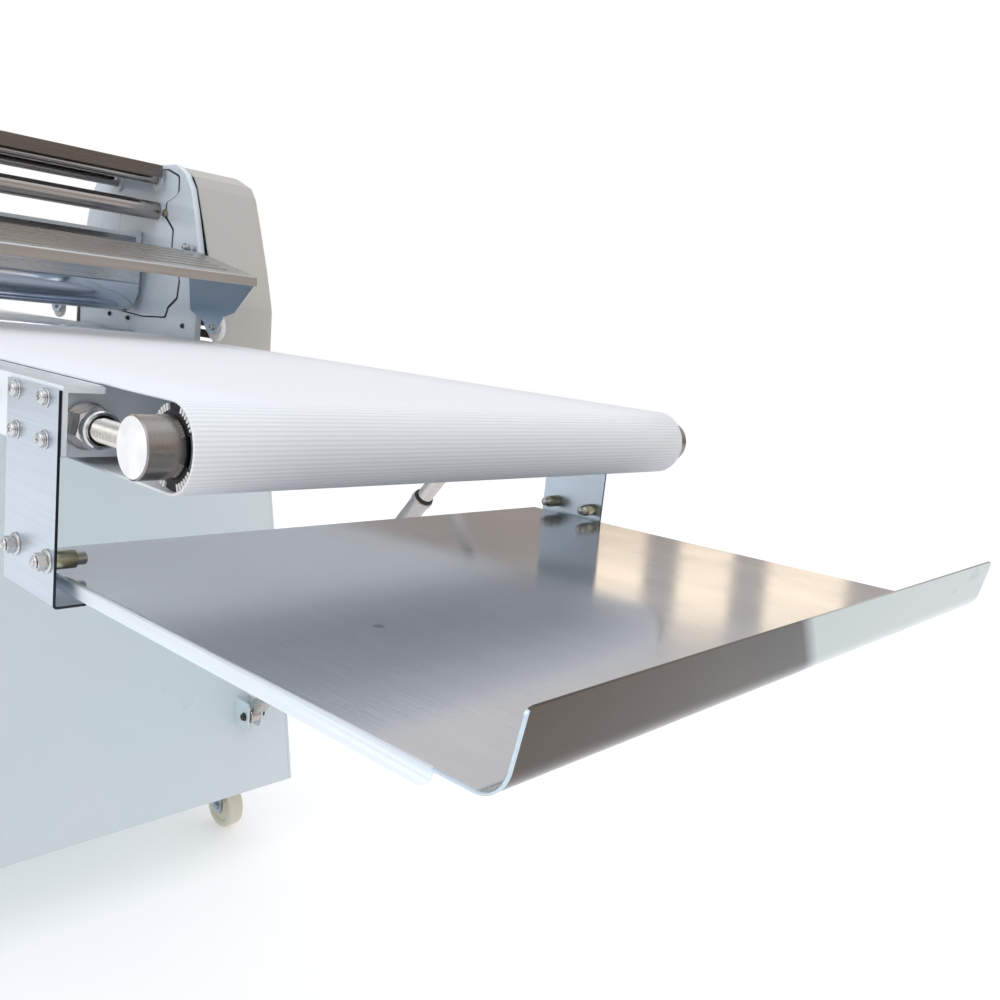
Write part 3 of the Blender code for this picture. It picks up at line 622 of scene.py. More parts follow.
def make_belt(word, side):
    outer, inner = belt_line(BELT_OUT), belt_line(BELT_IN)
    rings, runs = [], []
    soft = 0.5
    for (o, s), (i, _) in zip(outer, inner):
        wave = 0.25 * math.sin(s / 31.0) + 0.15 * math.sin(s / 11.3)
        mid = ((o[0] + i[0]) / 2, (o[1] + i[1]) / 2)
        section = []
        for y, point, pull in (
            (-BELT_HALF + soft, o, 0.0), (-170.0, o, 0.0), (0.0, o, 0.0), (170.0, o, 0.0), (BELT_HALF - soft, o, 0.0),
            (BELT_HALF, o, 0.25), (BELT_HALF, i, 0.25), (BELT_HALF - soft, i, 0.0), (0.0, i, 0.0),
            (-BELT_HALF + soft, i, 0.0), (-BELT_HALF, i, 0.25), (-BELT_HALF, o, 0.25),
        ):
            edge = wave if abs(y) > BELT_HALF - 1 else 0.0
            u = point[0] + (mid[0] - point[0]) * 2 * pull
            v = point[1] + (mid[1] - point[1]) * 2 * pull
            section.append((u, y - math.copysign(0.3, y) + math.copysign(edge, y) if edge else y, v))
            runs.append((s / 1000.0, y / 1000.0))
        rings.append(section)
    shape = Shape().rings(rings, "belt", loop=True)
    obj = piece(
        f"belt_loop_{word}", shape, f"table_{word}", side, (f"belt_{word}",), sharp=60.0, uv=lambda i: runs[i]
    )


def make_nose_shaft(word, side):
    shape = Shape()
    for sign in (-1, 1):
        cap = [(250.6, 8.0), (250.6, CAP_R - 1.0), (251.4, CAP_R), (273.7, CAP_R), (274.6, CAP_R - 0.9)]
        shape.lathe("y", NOSE_X, 0.0, [(sign * a, r) for a, r in cap], "turned", 72)
        face = [(274.5, CAP_R - 1.0), (274.8, CAP_R - 1.3), (274.8, 0.02)]
        # The end face takes the painted highlight colour.
        shape.lathe("y", NOSE_X, 0.0, [(sign * a, r) for a, r in face], "cap_face", 72)
        stud = thread(8.0, 7.0, 2.0, NOSE_X - 14.0 - 972.0, "thread")
        shape.join(stud, facing("+x", 972.0, sign * STUD_Y, 0.0))
        shape.join(washer(15.5, 8.2, 3.0, "bolt"), facing("+x", PLATE_FACE + 0.4, sign * STUD_Y, 0.0))
        nut = hexagon(12.0, 13.2, "bolt", hole=7.6)
        shape.join(nut, facing("+x", PLATE_FACE + 3.5, sign * STUD_Y, 0.0) @ Matrix.Rotation(0.35, 4, "Z"))
        ring = Shape().tube("z", 0.0, 0.0, 12.3, 9.7, 0.0, 8.4, "bolt", 48, 1.1)
        # Painted shade: a black disc deep in the ring darkens the gap round the stud.
        ring.join(washer(9.9, 7.4, 1.0, "black"), Matrix.Translation((0.0, 0.0, 3.0)))
        shape.join(ring, facing("+x", PLATE_FACE + 16.6, sign * STUD_Y, 0.0))
    shape.lathe("y", NOSE_X, 0.0, [(-251.0, 8.0), (251.0, 8.0)], "thread", 32)
    piece(f"nose_shaft_turned_{word}", shape, f"table_{word}", side, (f"nose_shaft_{word}",))


def arc_block(radii, angles, low, high, key, steps=10):
    """A piece of ring about the roller axis."""
    rings = []
    for i in range(steps + 1):
        a = math.radians(angles[0] + (angles[1] - angles[0]) * i / steps)
        corners = ((radii[0], low), (radii[1], low), (radii[1], high), (radii[0], high))
        rings.append([(NOSE_X + r * math.cos(a), y, r * math.sin(a)) for r, y in corners])
    return Shape().rings(rings, key)


def make_nose_roller(word, side):
    """The roller body with a moulded bush at each end, toothed in four groups."""
    shape = Shape()
    shape.tube("y", NOSE_X, 0.0, 26.1, 9.0, -245.6, 245.6, "blue_zinc", 72, 0.6)
    for sign in (-1, 1):
        low, high = sorted((sign * 245.8, sign * 250.1))
        back, front = sorted((sign * 245.7, sign * 248.6))
        shape.tube("y", NOSE_X, 0.0, 22.0, 9.0, low, high, "rubber", 64, 0.3)
        shape.tube("y", NOSE_X, 0.0, 26.0, 21.0, back, front, "rubber", 64, 0.2)
        for centre, half in ((0, 26), (180, 26)):
            shape.join(arc_block((19.0, 25.6), (centre - half, centre + half), low, high, "slate"))
        for centre in (52, 128, 232, 308):
            for i in range(6):
                at = centre + 7.6 * (i - 2.5)
                shape.join(arc_block((21.5, 26.0), (at - 2.1, at + 2.1), low, high, "white_nylon", 2))
    piece(f"nose_roller_body_{word}", shape, f"nose_roller_{word}", side, (f"nose_roller_{word}",))


def make_drive_roller(word, side):
    profile = [(-267.0, 9.4), (-266.0, 10.0), (-239.6, 10.0), (-239.5, 25.4), (-238.8, 26.1)]
    profile += [(-a, r) for a, r in profile[::-1]]
    shape = Shape().lathe("y", HINGE_X, 0.0, profile, "blue_zinc", 72)
    piece(f"drive_roller_body_{word}", shape, f"drive_roller_{word}", side, (f"drive_roller_{word}",))


SCREW_X, SCREW_Z = (939.8, 984.7), (16.5, -9.8)
SLEEVE_X, SLEEVE_Z = (943.7, 993.1), -85.6


def make_bracket(word, side, end, sign):
    """A bent sheet plate on the rail with its screws, lock nuts and tray sleeves."""
    box = machine_box(f"tray_bracket_right_{end}")
    low, top, thick = box[4], box[5], 2.0
    near = max(abs(box[2]), abs(box[3])) - thick
    line = [(near + thick, top), (near + thick, low + 3.0)]
    line += [
        (near + thick - 3.0 + 3.0 * math.cos(a), low + 3.0 - 3.0 * math.sin(a)) for a in (0.4, 0.8, 1.2, math.pi / 2)
    ]
    line.append((262.0, low))
    outline = line + offset_line(line, thick)[::-1]
    shape = Shape()
    shape.rings([[(x, sign * u, v) for u, v in outline] for x in box[:2]], "bracket")
    shape.keys[-2:] = ["dark_edge", "dark_edge"]
    shape.keys[len(line) - 1] = "dark_edge"
    out, inward = ("+y", "-y") if sign > 0 else ("-y", "+y")
    face = sign * (near + thick)
    for i, x in enumerate(SCREW_X):
        for j, z in enumerate(SCREW_Z):
            shape.join(pan_screw(5.0), facing(out, x, face, z) @ Matrix.Rotation(0.7 * i + 1.9 * j, 4, "Z"))
    for i, x in enumerate(SLEEVE_X):
        shape.join(lock_nut(5.2, 3.2), facing(out, x, face, SLEEVE_Z) @ Matrix.Rotation(0.4 + i, 4, "Z"))
        sleeve = Shape().lathe("z", 0.0, 0.0, [(0.0, 5.8), (0.3, 6.0), (15.2, 6.0), (15.6, 5.6)], "yellow_zinc", 36)
        tip = [(15.0, 4.6), (16.4, 4.6), (16.6, 4.4), (21.6, 4.4), (22.4, 3.7), (22.4, 0.02)]
        sleeve.lathe("z", 0.0, 0.0, tip, "tube", 32)
        shape.join(sleeve, facing(inward, x, sign * near, SLEEVE_Z))
    piece(
        f"tray_bracket_sheet_{word}_{end}", shape, f"table_{word}", side, (f"tray_bracket_{word}_{end}",),
        bevel=0.2, segments=1, sharp=50.0,
    )


TRAY_REAR, TRAY_BEND, TRAY_LIP = (919.4, -97.0), (1362.5, -88.0), (1383.8, -47.3)
TRAY_HALF, TRAY_T, FLANGE, LIP_ANGLE, CORNER = 274.5, 1.5, 412.5, math.radians(79.5), 4.5


def tray_line(drop=0.0):
    """The sheet's inner line, its lip shortened where the corner is rounded."""
    start = math.atan2(TRAY_BEND[1] - TRAY_REAR[1], TRAY_BEND[0] - TRAY_REAR[0])
    end, radius = LIP_ANGLE, 17.0
    centre = (TRAY_BEND[0] - radius * math.sin(start), TRAY_BEND[1] + radius * math.cos(start))
    line = [
        (TRAY_REAR[0] + (TRAY_BEND[0] - TRAY_REAR[0]) * i / 12, TRAY_REAR[1] + (TRAY_BEND[1] - TRAY_REAR[1]) * i / 12)
        for i in range(12)
    ]
    for i in range(19):
        a = start + (end - start) * i / 18
        line.append((centre[0] + radius * math.sin(a), centre[1] - radius * math.cos(a)))
    return line + [(TRAY_LIP[0] - drop * math.cos(end), TRAY_LIP[1] - drop * math.sin(end))]


def corner_drop(y):
    """How far the lip's rounded corner falls at a place across the tray."""
    over = min(CORNER, max(0.0, abs(y) - (TRAY_HALF - CORNER)))
    return CORNER - math.sqrt(CORNER**2 - over**2)


EDGE_R = 1.9  # bend radius between a tray's floor and its side flange


def make_tray(word, side):
    line = tray_line()
    shape = Shape()
    ys = [TRAY_HALF - 1.8, TRAY_HALF - 2.8, TRAY_HALF - CORNER]
    ys = [-y for y in ys] + [-200.0, -100.0, 0.0, 100.0, 200.0] + ys[::-1]
    rings = []
    for y in ys:
        bent = tray_line(corner_drop(y))
        rings.append([(u, y, v) for u, v in bent + offset_line(bent, TRAY_T)[::-1]])
    shape.rings(rings, "tray")
    count = 2 * len(line)
    for step in range(len(ys) - 1):
        for j in range(count):
            at = line[min(j, count - 1 - j, len(line) - 1)][0]
            if j >= len(line) - 1 and at > TRAY_BEND[0] - 2.0:
                shape.keys[step * count + j] = "lip"
    slope = math.tan(math.atan2(TRAY_BEND[1] - TRAY_REAR[1], TRAY_BEND[0] - TRAY_REAR[0]))
    x0, z0 = TRAY_REAR
    for sign in (-1, 1):
        stations = [(x0 + 48.0 * i, 10.0) for i in range(9)]
        bend = (0.0, 0.4, 0.8, 1.15, 1.4, 1.57)
        stations += [(x0 + FLANGE + 8.0 * math.sin(a), 2.0 + 8.0 * math.cos(a)) for a in bend]
        stations.append((x0 + FLANGE + 9.0, 0.9))
        rings = []
        for x, depth in stations:
            top = z0 + (x - x0) * slope
            section = [(TRAY_HALF - EDGE_R, top)]
            section += [
                (TRAY_HALF - EDGE_R + EDGE_R * math.sin(a), top - EDGE_R + EDGE_R * math.cos(a))
                for a in (0.5, 1.05, 1.57)
            ]
            drop = max(depth, 2.1)
            section += [(TRAY_HALF, top - drop), (TRAY_HALF - TRAY_T, top - drop), (TRAY_HALF - TRAY_T, top - 1.7)]
            section.append((TRAY_HALF - EDGE_R, top - TRAY_T))
            rings.append([(x, sign * u, v) for u, v in section])
        shape.rings(rings, "flange")
        rings = []
        for y, a, b in (
            (TRAY_HALF - 1.8, 0.0, 1.0), (TRAY_HALF - 1.1, 0.0, 1.0),
            (TRAY_HALF - 0.5, 0.0, 1.0), (TRAY_HALF, 0.35, 0.65),
        ):
            lip = [p for p in tray_line(corner_drop(y)) if p[0] >= x0 + FLANGE + 8.0]
            lip.insert(0, (x0 + FLANGE + 8.0, z0 + (FLANGE + 8.0) * slope))
            back = offset_line(lip, TRAY_T)
            pairs = list(zip(lip, back))
            mixes = [(p, q, a) for p, q in pairs] + [(p, q, b) for p, q in pairs[::-1]]
            rings.append([(p[0] + (q[0] - p[0]) * t, sign * y, p[1] + (q[1] - p[1]) * t) for p, q, t in mixes])
        shape.rings(rings, "cut_edge")
    tray = f"catch_tray_{word}"
    piece(f"catch_tray_sheet_{word}", shape, tray, side, (tray,), sharp=40.0)


STRUT_LOW, STRUT_HIGH, STRUT_Y = (370.0, -543.0), (818.0, 0.0), 300.0
SLEEVE_LEN, ROD_LEN = 539.0, 610.0


def strut_matrix(y):
    dx, dz = STRUT_HIGH[0] - STRUT_LOW[0], STRUT_HIGH[1] - STRUT_LOW[1]
    turn = Matrix.Rotation(-math.atan2(dz, dx), 4, "Y")
    return Matrix.Translation((STRUT_LOW[0], y, STRUT_LOW[1])) @ turn, math.hypot(dx, dz)


def make_strut(word, side, end, sign):
    place, length = strut_matrix(sign * STRUT_Y)
    sleeve = Shape()
    sleeve.tube("y", 0.0, 0.0, 12.0, 6.4, -8.5, 8.5, "sleeve", 40, 0.8)
    body = [(10.5, 7.0), (24.0, 8.0), (29.0, 12.4), (33.0, 12.5), (SLEEVE_LEN - 9.0, 12.5)]
    sleeve.lathe("x", 0.0, 0.0, body, "sleeve", 40)
    ring = [(SLEEVE_LEN - 9.0, 12.6), (SLEEVE_LEN - 8.0, 13.8), (SLEEVE_LEN - 2.0, 13.8), (SLEEVE_LEN - 1.0, 12.8)]
    sleeve.lathe("x", 0.0, 0.0, ring, "sleeve", 40)
    wiper = [(SLEEVE_LEN - 1.2, 12.9), (SLEEVE_LEN + 2.0, 12.3), (SLEEVE_LEN + 3.0, 10.3)]
    sleeve.lathe("x", 0.0, 0.0, wiper, "rubber", 40)
    piece(
        f"strut_sleeve_tube_{word}_{end}", sleeve.moved(place), f"strut_sleeve_{word}_{end}", side,
        (f"strut_sleeve_{word}_{end}",),
    )
    rod = Shape()
    bar = [(length - ROD_LEN, 9.2), (length - ROD_LEN + 1, 10.0), (length - 12.0, 10.0), (length - 10.0, 9.0)]
    rod.lathe("x", 0.0, 0.0, bar, "tube", 40)
    rod.lathe("y", length, 0.0, [(-10.0, 12.2), (-9.2, 13.0), (9.2, 13.0), (10.0, 12.2)], "tube", 40)
    rod.lathe("y", length, 0.0, [(-sign * 16.0, 6.0), (sign * 10.0, 6.0)], "bolt", 24)
    head = hexagon(8.0, 5.0, "bolt")
    rod.join(head, facing("+y" if sign > 0 else "-y", length, sign * 10.0, 0.0))
    piece(
        f"strut_rod_bar_{word}_{end}", rod.moved(place), f"strut_rod_{word}_{end}", side,
        (f"strut_rod_{word}_{end}",),
    )


def make_bed_strips(word, side):
    """The stainless bed sheet's edges beside the belt."""
    shape = Shape()
    for sign in (-1, 1):
        low, high = sorted((sign * 254.0, sign * 262.0))
        shape.box(332.0, 1001.0, low, high, 25.7, 26.3, "flange")
    piece(f"bed_strips_{word}", shape, f"table_{word}", side)


def make_guard_wheel(word, side, end, sign):
    box = machine_box(f"guard_wheel_right_{end}")
    x, z, radius = (box[0] + box[1]) / 2, (box[4] + box[5]) / 2, (box[1] - box[0]) / 2
    low, high = sorted((abs(box[2]), abs(box[3])))
    profile = [
        (low, 4.6), (low, radius - 1.4), (low + 0.4, radius - 0.4), (low + 1.4, radius), (high - 1.4, radius),
        (high - 0.4, radius - 0.4), (high, radius - 1.4), (high, 12.0), (high - 0.8, 11.4), (high - 0.8, 4.6),
    ]
    shape = Shape().lathe("y", x, z, [(sign * a, r) for a, r in profile], "white_nylon", 56)
    piece(
        f"guard_wheel_turned_{word}_{end}", shape, f"guard_wheel_{word}_{end}", side,
        (f"guard_wheel_{word}_{end}",)
    )
    screw = Shape().join(pan_screw(4.2), facing("-y" if sign > 0 else "+y", x, sign * 246.0, z))
    px, pz = GUARD_PIVOT
    screw.join(pan_screw(3.4), facing("-y" if sign > 0 else "+y", px, sign * 243.2, pz))
    piece(f"guard_wheel_screw_{word}_{end}", screw, f"guard_{word}", side)


def make_table(word, side):
    make_belt(word, side)
    make_bed_strips(word, side)
    make_nose_shaft(word, side)
    make_nose_roller(word, side)
    make_drive_roller(word, side)
    make_tray(word, side)
    for end, sign in ENDS:
        make_bracket(word, side, end, sign)
        make_strut(word, side, end, sign)
        make_guard_wheel(word, side, end, sign)
        make_caster(word, side, end, sign)


# ---------------------------------------------------------------- casters, head and cabinet

GUARD_PIVOT = (190.0, 166.0)


def make_caster(word, side, end, sign):
    """A cream wheel with its hub, between bent fork legs under a ball race."""
    box = machine_box(f"caster_wheel_right_{end}")
    x, y, z = (box[0] + box[1]) / 2, (box[2] + box[3]) / 2, (box[4] + box[5]) / 2
    radius, half = (box[1] - box[0]) / 2, (box[3] - box[2]) / 2
    half_tread = [(half - 0.6, 5.8), (half - 0.6, 13.0), (half - 4.5, 15.0), (half - 4.5, 26.0), (half - 0.8, 29.0)]
    half_tread += [(half, 31.0), (half, radius - 3.5), (half - 1.2, radius - 1.0), (half - 3.6, radius)]
    profile = [(-a, r) for a, r in half_tread] + half_tread[::-1]
    shape = Shape().lathe("y", x, z, [(y + a, r) for a, r in profile], "nylon", 64)
    piece(
        f"caster_wheel_turned_{word}_{end}", shape, f"caster_wheel_{word}_{end}", side, (f"caster_wheel_{word}_{end}",),
    )
    box = machine_box(f"caster_fork_right_{end}")
    kx, top = box[0] + 26.0, box[5]
    shape = Shape()
    for face, way in ((-17.8, "-y"), (17.8, "+y")):
        shape.join(hexagon(6.5, 5.0, "blue_zinc", hole=3.6), facing(way, x, y + face, z))
        stub = Shape().lathe("z", 0, 0, [(0.0, 3.6), (6.2, 3.6), (7.0, 2.8)], "blue_zinc", 24)
        shape.join(stub, facing(way, x, y + face, z))
    race = [(top - 9.0, 20.0), (top - 9.0, 24.0), (top - 5.5, 27.5)]
    race += [(top - 2.5, 27.5), (top + 0.4, 25.0), (top + 0.4, 9.0)]
    shape.lathe("z", kx, y, race, "blue_zinc", 48)
    piece(f"caster_hardware_{word}_{end}", shape, f"caster_fork_{word}_{end}", side)
    mount = Shape()
    for dx in (-28.0, 28.0):
        for dy in (-28.0, 28.0):
            mount.join(hexagon(6.0, 4.0, "bolt"), facing("-z", kx + dx, y + dy, top + 1.0))
    piece(f"caster_bolts_{word}_{end}", mount, "base", side)
    pivot = Shape()
    for way, at in (("-y", -15.2), ("+y", 15.2)):
        pivot.join(pan_screw(5.4, "black"), facing(way, STRUT_LOW[0], sign * STRUT_Y + at, STRUT_LOW[1]))
    piece(f"clevis_screws_{word}_{end}", pivot, "base", side)


HOUSING = (
    (-62.0, 60.0), (35.0, 54.0), (108.0, 57.0), (116.0, 73.0), (143.0, 89.0), (148.0, 117.0), (119.0, 169.0),
    (121.0, 193.0), (107.0, 204.0), (94.0, 214.0), (96.0, 236.0), (121.0, 244.0), (133.0, 250.0), (132.0, 275.0),
    (97.0, 286.0), (-46.0, 286.0), (-54.0, 272.0), (-40.0, 250.0), (-57.0, 216.0),
)


def make_housing(end, sign):
    """The raised bearing housing on a head plate's inner face, with a thin black rim round it as painted shadow in the
    gap.
    """
    centre = (38.0, 170.0)
    inner = rounded(HOUSING, 7.0, 4)
    outer = [(x + 2.6 * math.copysign(1, x - centre[0]), z + 2.2 * math.copysign(1, z - centre[1])) for x, z in inner]
    shape = Shape()
    # Painted shadow: a thin black rim round the housing stands for the shade in the gap.
    shape.prism("y", outer, *sorted((sign * 259.3, sign * 259.95)), "rubber")
    shape.prism("y", inner, *sorted((sign * 258.3, sign * 259.9)), "plate_white")
    way = "-y" if sign > 0 else "+y"
    for x, z in ((-85.0, 50.0), (-18.0, 47.0), (166.0, 46.0), (180.0, 167.0 - 26.0)):
        shape.join(pan_screw(3.4, "black"), facing(way, x, sign * 260.0, z))
    for side in (-1, 1):
        boss = [(sign * 258.4, 16.0), (sign * 256.4, 15.2), (sign * 255.8, 13.6), (sign * 255.8, 8.0)]
        shape.lathe("y", side * 68.0, 271.5, boss, "plate_white", 40)
    nut = hexagon(5.5, 4.0, "yellow_zinc")
    shape.join(nut, facing(way, 98.0, sign * 258.3, 219.0))
    piece(f"head_housing_{end}", shape, "base", bevel=0.5, segments=2, sharp=50.0)


def ticks(count, span, radii, centre, face, key):
    """Short marks fanned about a centre on a face turned to -Y."""
    shape = Shape()
    for i in range(count):
        a = math.radians(span[0] + (span[1] - span[0]) * i / (count - 1))
        long = radii[1] if i % 5 == 0 else radii[1] - 3.5
        half = 0.45
        u, v = math.cos(a), math.sin(a)
        corners = [
            (centre[0] + r * u + w * -v, centre[1] + r * v + w * u)
            for r, w in ((radii[0], -half), (long, -half), (long, half), (radii[0], half))
        ]
        shape.prism("y", corners, face - 0.25, face, key)
    return shape


GAP_AXIS = (70.0, 223.0)
LEVER_REACH, LEVER_TILT = 170.0, math.radians(60.0)
BUTTONS = (("stop_button", 170.0, 40.0, 20.0, "red"), ("start_button", 120.0, 40.0, 13.0, "green"))


def make_controls():
    """Gap scale, button collars, the lever's grip and the cover's screws on the operator side."""
    face = machine_box("head_cover_front")[2]
    gx, gz = GAP_AXIS
    plate = Shape()
    arc = [
        (gx + r * math.cos(a), gz + r * math.sin(a))
        for r, steps in ((44.0, range(25)), (26.0, range(24, -1, -1)))
        for a in (math.radians(48.0 + 128.0 * i / 24) for i in steps)
    ]
    plate.prism("y", arc, face - 1.2, face - 0.05, "bolt")
    plate.join(ticks(26, (54.0, 170.0), (33.0, 42.0), (gx, gz), face - 1.2, "black"))
    for x, z, ring, hole, key in (
        (170.0, 40.0, 27.0, 20.8, "yellow"), (120.0, 40.0, 17.5, 13.7, "black"), (0.0, 0.0, 24.0, 9.0, "black"),
    ):
        plate.tube("y", x, z, ring, hole, face - 3.0, face - 0.05, key, 56, 1.0)
    for x, z in ((-150.0, -50.0), (150.0, -50.0), (-120.0, 235.0), (128.0, 235.0)):
        plate.join(pan_screw(4.4), facing("-y", x, face, z))
    piece("control_plates", plate, "base", bevel=0.15, segments=1, sharp=60.0)
    for name, x, z, radius, key in BUTTONS:
        head = machine_box(name)
        near, tip = head[2] + 13.0, head[2]
        dome = [(near, radius * 0.5), (near, radius * 0.93), (near - 2.0, radius), (near - 6.0, radius)]
        dome += [(tip + 3.2, radius * 0.94), (tip + 1.2, radius * 0.8), (tip + 0.3, radius * 0.5), (tip, 0.02)]
        shape = Shape().lathe("y", x, z, [(head[3], 8.0), (near + 0.1, 8.0)], key, 32)
        shape.lathe("y", x, z, dome, key, 56)
        piece(f"{name}_cap", shape, name, 1, (name,))
    lever = Shape()
    tip = (gx + LEVER_REACH * math.cos(LEVER_TILT), gz + LEVER_REACH * math.sin(LEVER_TILT))
    hub = [(-384.2, 9.5), (-384.2, 21.0), (-385.4, 22.0), (-399.0, 22.0), (-402.0, 18.0), (-402.0, 0.02)]
    lever.lathe("y", gx, gz, hub, "black", 56)
    bar = Shape()
    stations = ((12.0, 9.0, 5.6), (40.0, 7.6, 5.0), (120.0, 6.2, 4.4), (166.0, 6.0, 4.2), (171.0, 4.0, 3.0))
    rings = []
    for at, half, thick in stations:
        rings.append([
            (at, -393.0 + thick * math.copysign(abs(math.sin(a)) ** 0.7, math.sin(a)),
             half * math.copysign(abs(math.cos(a)) ** 0.7, math.cos(a)))
            for a in (TAU * i / 24 for i in range(24))
        ])
    bar.rings(rings, "bolt")
    turn = Matrix.Translation((gx, 0.0, gz)) @ Matrix.Rotation(-LEVER_TILT, 4, "Y")
    lever.join(bar, turn)
    knob = [(-397.0, 5.0), (-403.0, 6.5), (-406.0, 9.0), (-412.0, 13.4)]
    knob += [(-420.0, 15.0), (-428.0, 13.4), (-433.5, 8.6), (-436.0, 0.02)]
    lever.lathe("y", *tip, knob, "black", 48)
    piece("gap_lever_grip", lever, "gap_control", 1, ("gap_lever",), sharp=40.0)
    turn_lever = Shape()
    boss = [(-340.0, 8.0), (-384.0, 8.0), (-384.2, 19.0), (-385.0, 20.0)]
    boss += [(-395.0, 20.0), (-398.0, 16.5), (-398.0, 0.02)]
    turn_lever.lathe("y", 0.0, 0.0, boss, "black", 48)
    stem = []
    for z, half, thick in ((-10.0, 7.0, 5.0), (-30.0, 5.6, 4.5), (-56.0, 5.0, 4.0)):
        stem.append([(half * math.cos(TAU * i / 20), -392.5 + thick * math.sin(TAU * i / 20), z) for i in range(20)])
    turn_lever.rings(stem, "black")
    ball = [(-62.0 + 12.0 * math.cos(a), 12.0 * math.sin(a)) for a in (math.pi * i / 16 for i in range(1, 16))]
    turn_lever.join(Shape().lathe("z", 0.0, -394.0, ball, "black", 32))
    piece("direction_lever_grip", turn_lever, "direction_lever", 1, ("direction_lever",), sharp=40.0)


LOUVRE_LOW, LOUVRE_PITCH, LOUVRE_HIGH = -400.0, 16.0, 7.0  # lowest edge, spacing and slot height
MOTOR_FINS = 20


def make_cabinet_trim():
    """Panel screws, a raised service panel at the back with louvre slots as thin black slabs of painted shade, and the
    motor's fins.
    """
    front = machine_box("cabinet_panel_front")
    face, back = front[2], machine_box("cabinet_panel_rear")[3]
    top, low = front[5], front[4]
    screws = Shape()
    for row in range(4):
        z = top - 22.0 - row * (top - low - 44.0) / 3
        reach = 215.0 + (top - z) * 0.235
        for x in (-reach, reach):
            screws.join(pan_screw(4.4), facing("-y", x, face, z))
            screws.join(pan_screw(4.4), facing("+y", x, back, z))
    panel = rounded([(-170.0, -560.0), (170.0, -560.0), (170.0, -260.0), (-170.0, -260.0)], 14.0)
    screws.prism("y", panel, back, back + 1.6, "cabinet")
    # Painted shade: each louvre slot is a thin black slab on the panel in place of an opening.
    for i in range(7):
        low_edge = LOUVRE_LOW + LOUVRE_PITCH * i
        high_edge = low_edge + LOUVRE_HIGH
        slot = [(-70.0, low_edge), (70.0, low_edge), (70.0, high_edge), (-70.0, high_edge)]
        screws.prism("y", rounded(slot, 3.4, 4), back + 1.4, back + 1.9, "rubber")
    for x in (-158.0, 158.0):
        for z in (-548.0, -272.0):
            screws.join(pan_screw(4.0), facing("+y", x, back + 1.6, z))
    piece("cabinet_trim", screws, "base", bevel=0.3, segments=1, sharp=50.0)
    fins = Shape()
    for i in range(MOTOR_FINS):
        a = TAU * i / MOTOR_FINS
        fin = Shape().box(76.0, 82.5, -140.0, 120.0, -1.2, 1.2, "motor")
        fins.join(fin, Matrix.Translation((0.0, 0.0, -560.0)) @ Matrix.Rotation(a, 4, "Y"))
    piece("motor_fins", fins, "base")


def make_rollers():
    """Both sheeting rollers as turned bodies with shouldered journals."""
    for name, flat in (("upper_roller", 246.0), ("lower_roller", 258.0)):
        box = machine_box(name)
        z, reach, radius = (box[4] + box[5]) / 2, box[3], (box[5] - box[4]) / 2
        half = [(reach, 10.8), (reach - 1.2, 12.0), (flat + 1.0, 12.0), (flat, 15.0), (flat, radius - 2.4)]
        half += [(flat - 0.6, radius - 1.0), (flat - 2.4, radius)]
        profile = half + [(-a, r) for a, r in half[::-1]]
        shape = Shape().lathe("y", 0.0, z, profile, "roller", 128)
        piece(f"{name}_turned", shape, name, 1, (name,), sharp=30.0)
    for word, _ in SIDES:
        box = machine_box(f"top_bar_{word}")
        x, z, radius, reach = (box[0] + box[1]) / 2, (box[4] + box[5]) / 2, (box[1] - box[0]) / 2, box[3]
        profile = [(-reach, radius - 1.0), (-reach + 1.0, radius), (reach - 1.0, radius), (reach, radius - 1.0)]
        shape = Shape().lathe("y", x, z, profile, "bar", 64)
        piece(f"top_bar_ground_{word}", shape, "base", 1, (f"top_bar_{word}",))


# ---------------------------------------------------------------- stage


def make_camera():
    right = Vector((0.7263, 0.6791, 0.1064)).normalized()
    ahead = Vector((-0.6603, 0.7324, -0.1662)).normalized()
    up = right.cross(ahead).normalized()
    data = bpy.data.cameras.new("view")
    data.sensor_width = 36.0
    data.lens = 34.73
    data.clip_start = 0.02
    camera = bpy.data.objects.new("view", data)
    turn = Matrix((right, up, -ahead)).transposed().to_4x4()
    camera.matrix_world = Matrix.Translation(TO_FRAME @ Vector((1593.3, -532.1, 83.2))) @ turn
    bpy.context.scene.collection.objects.link(camera)
    bpy.context.scene.camera = camera


def area_light(name, where, target, size, power, colour=(1.0, 1.0, 1.0)):
    data = bpy.data.lights.new(name, "AREA")
    data.shape = "RECTANGLE"
    data.size, data.size_y = size
    data.energy = power
    data.color = colour
    obj = bpy.data.objects.new(name, data)
    obj.location = where
    obj.rotation_euler = (Vector(target) - Vector(where)).to_track_quat("-Z", "Y").to_euler()
    bpy.context.scene.collection.objects.link(obj)


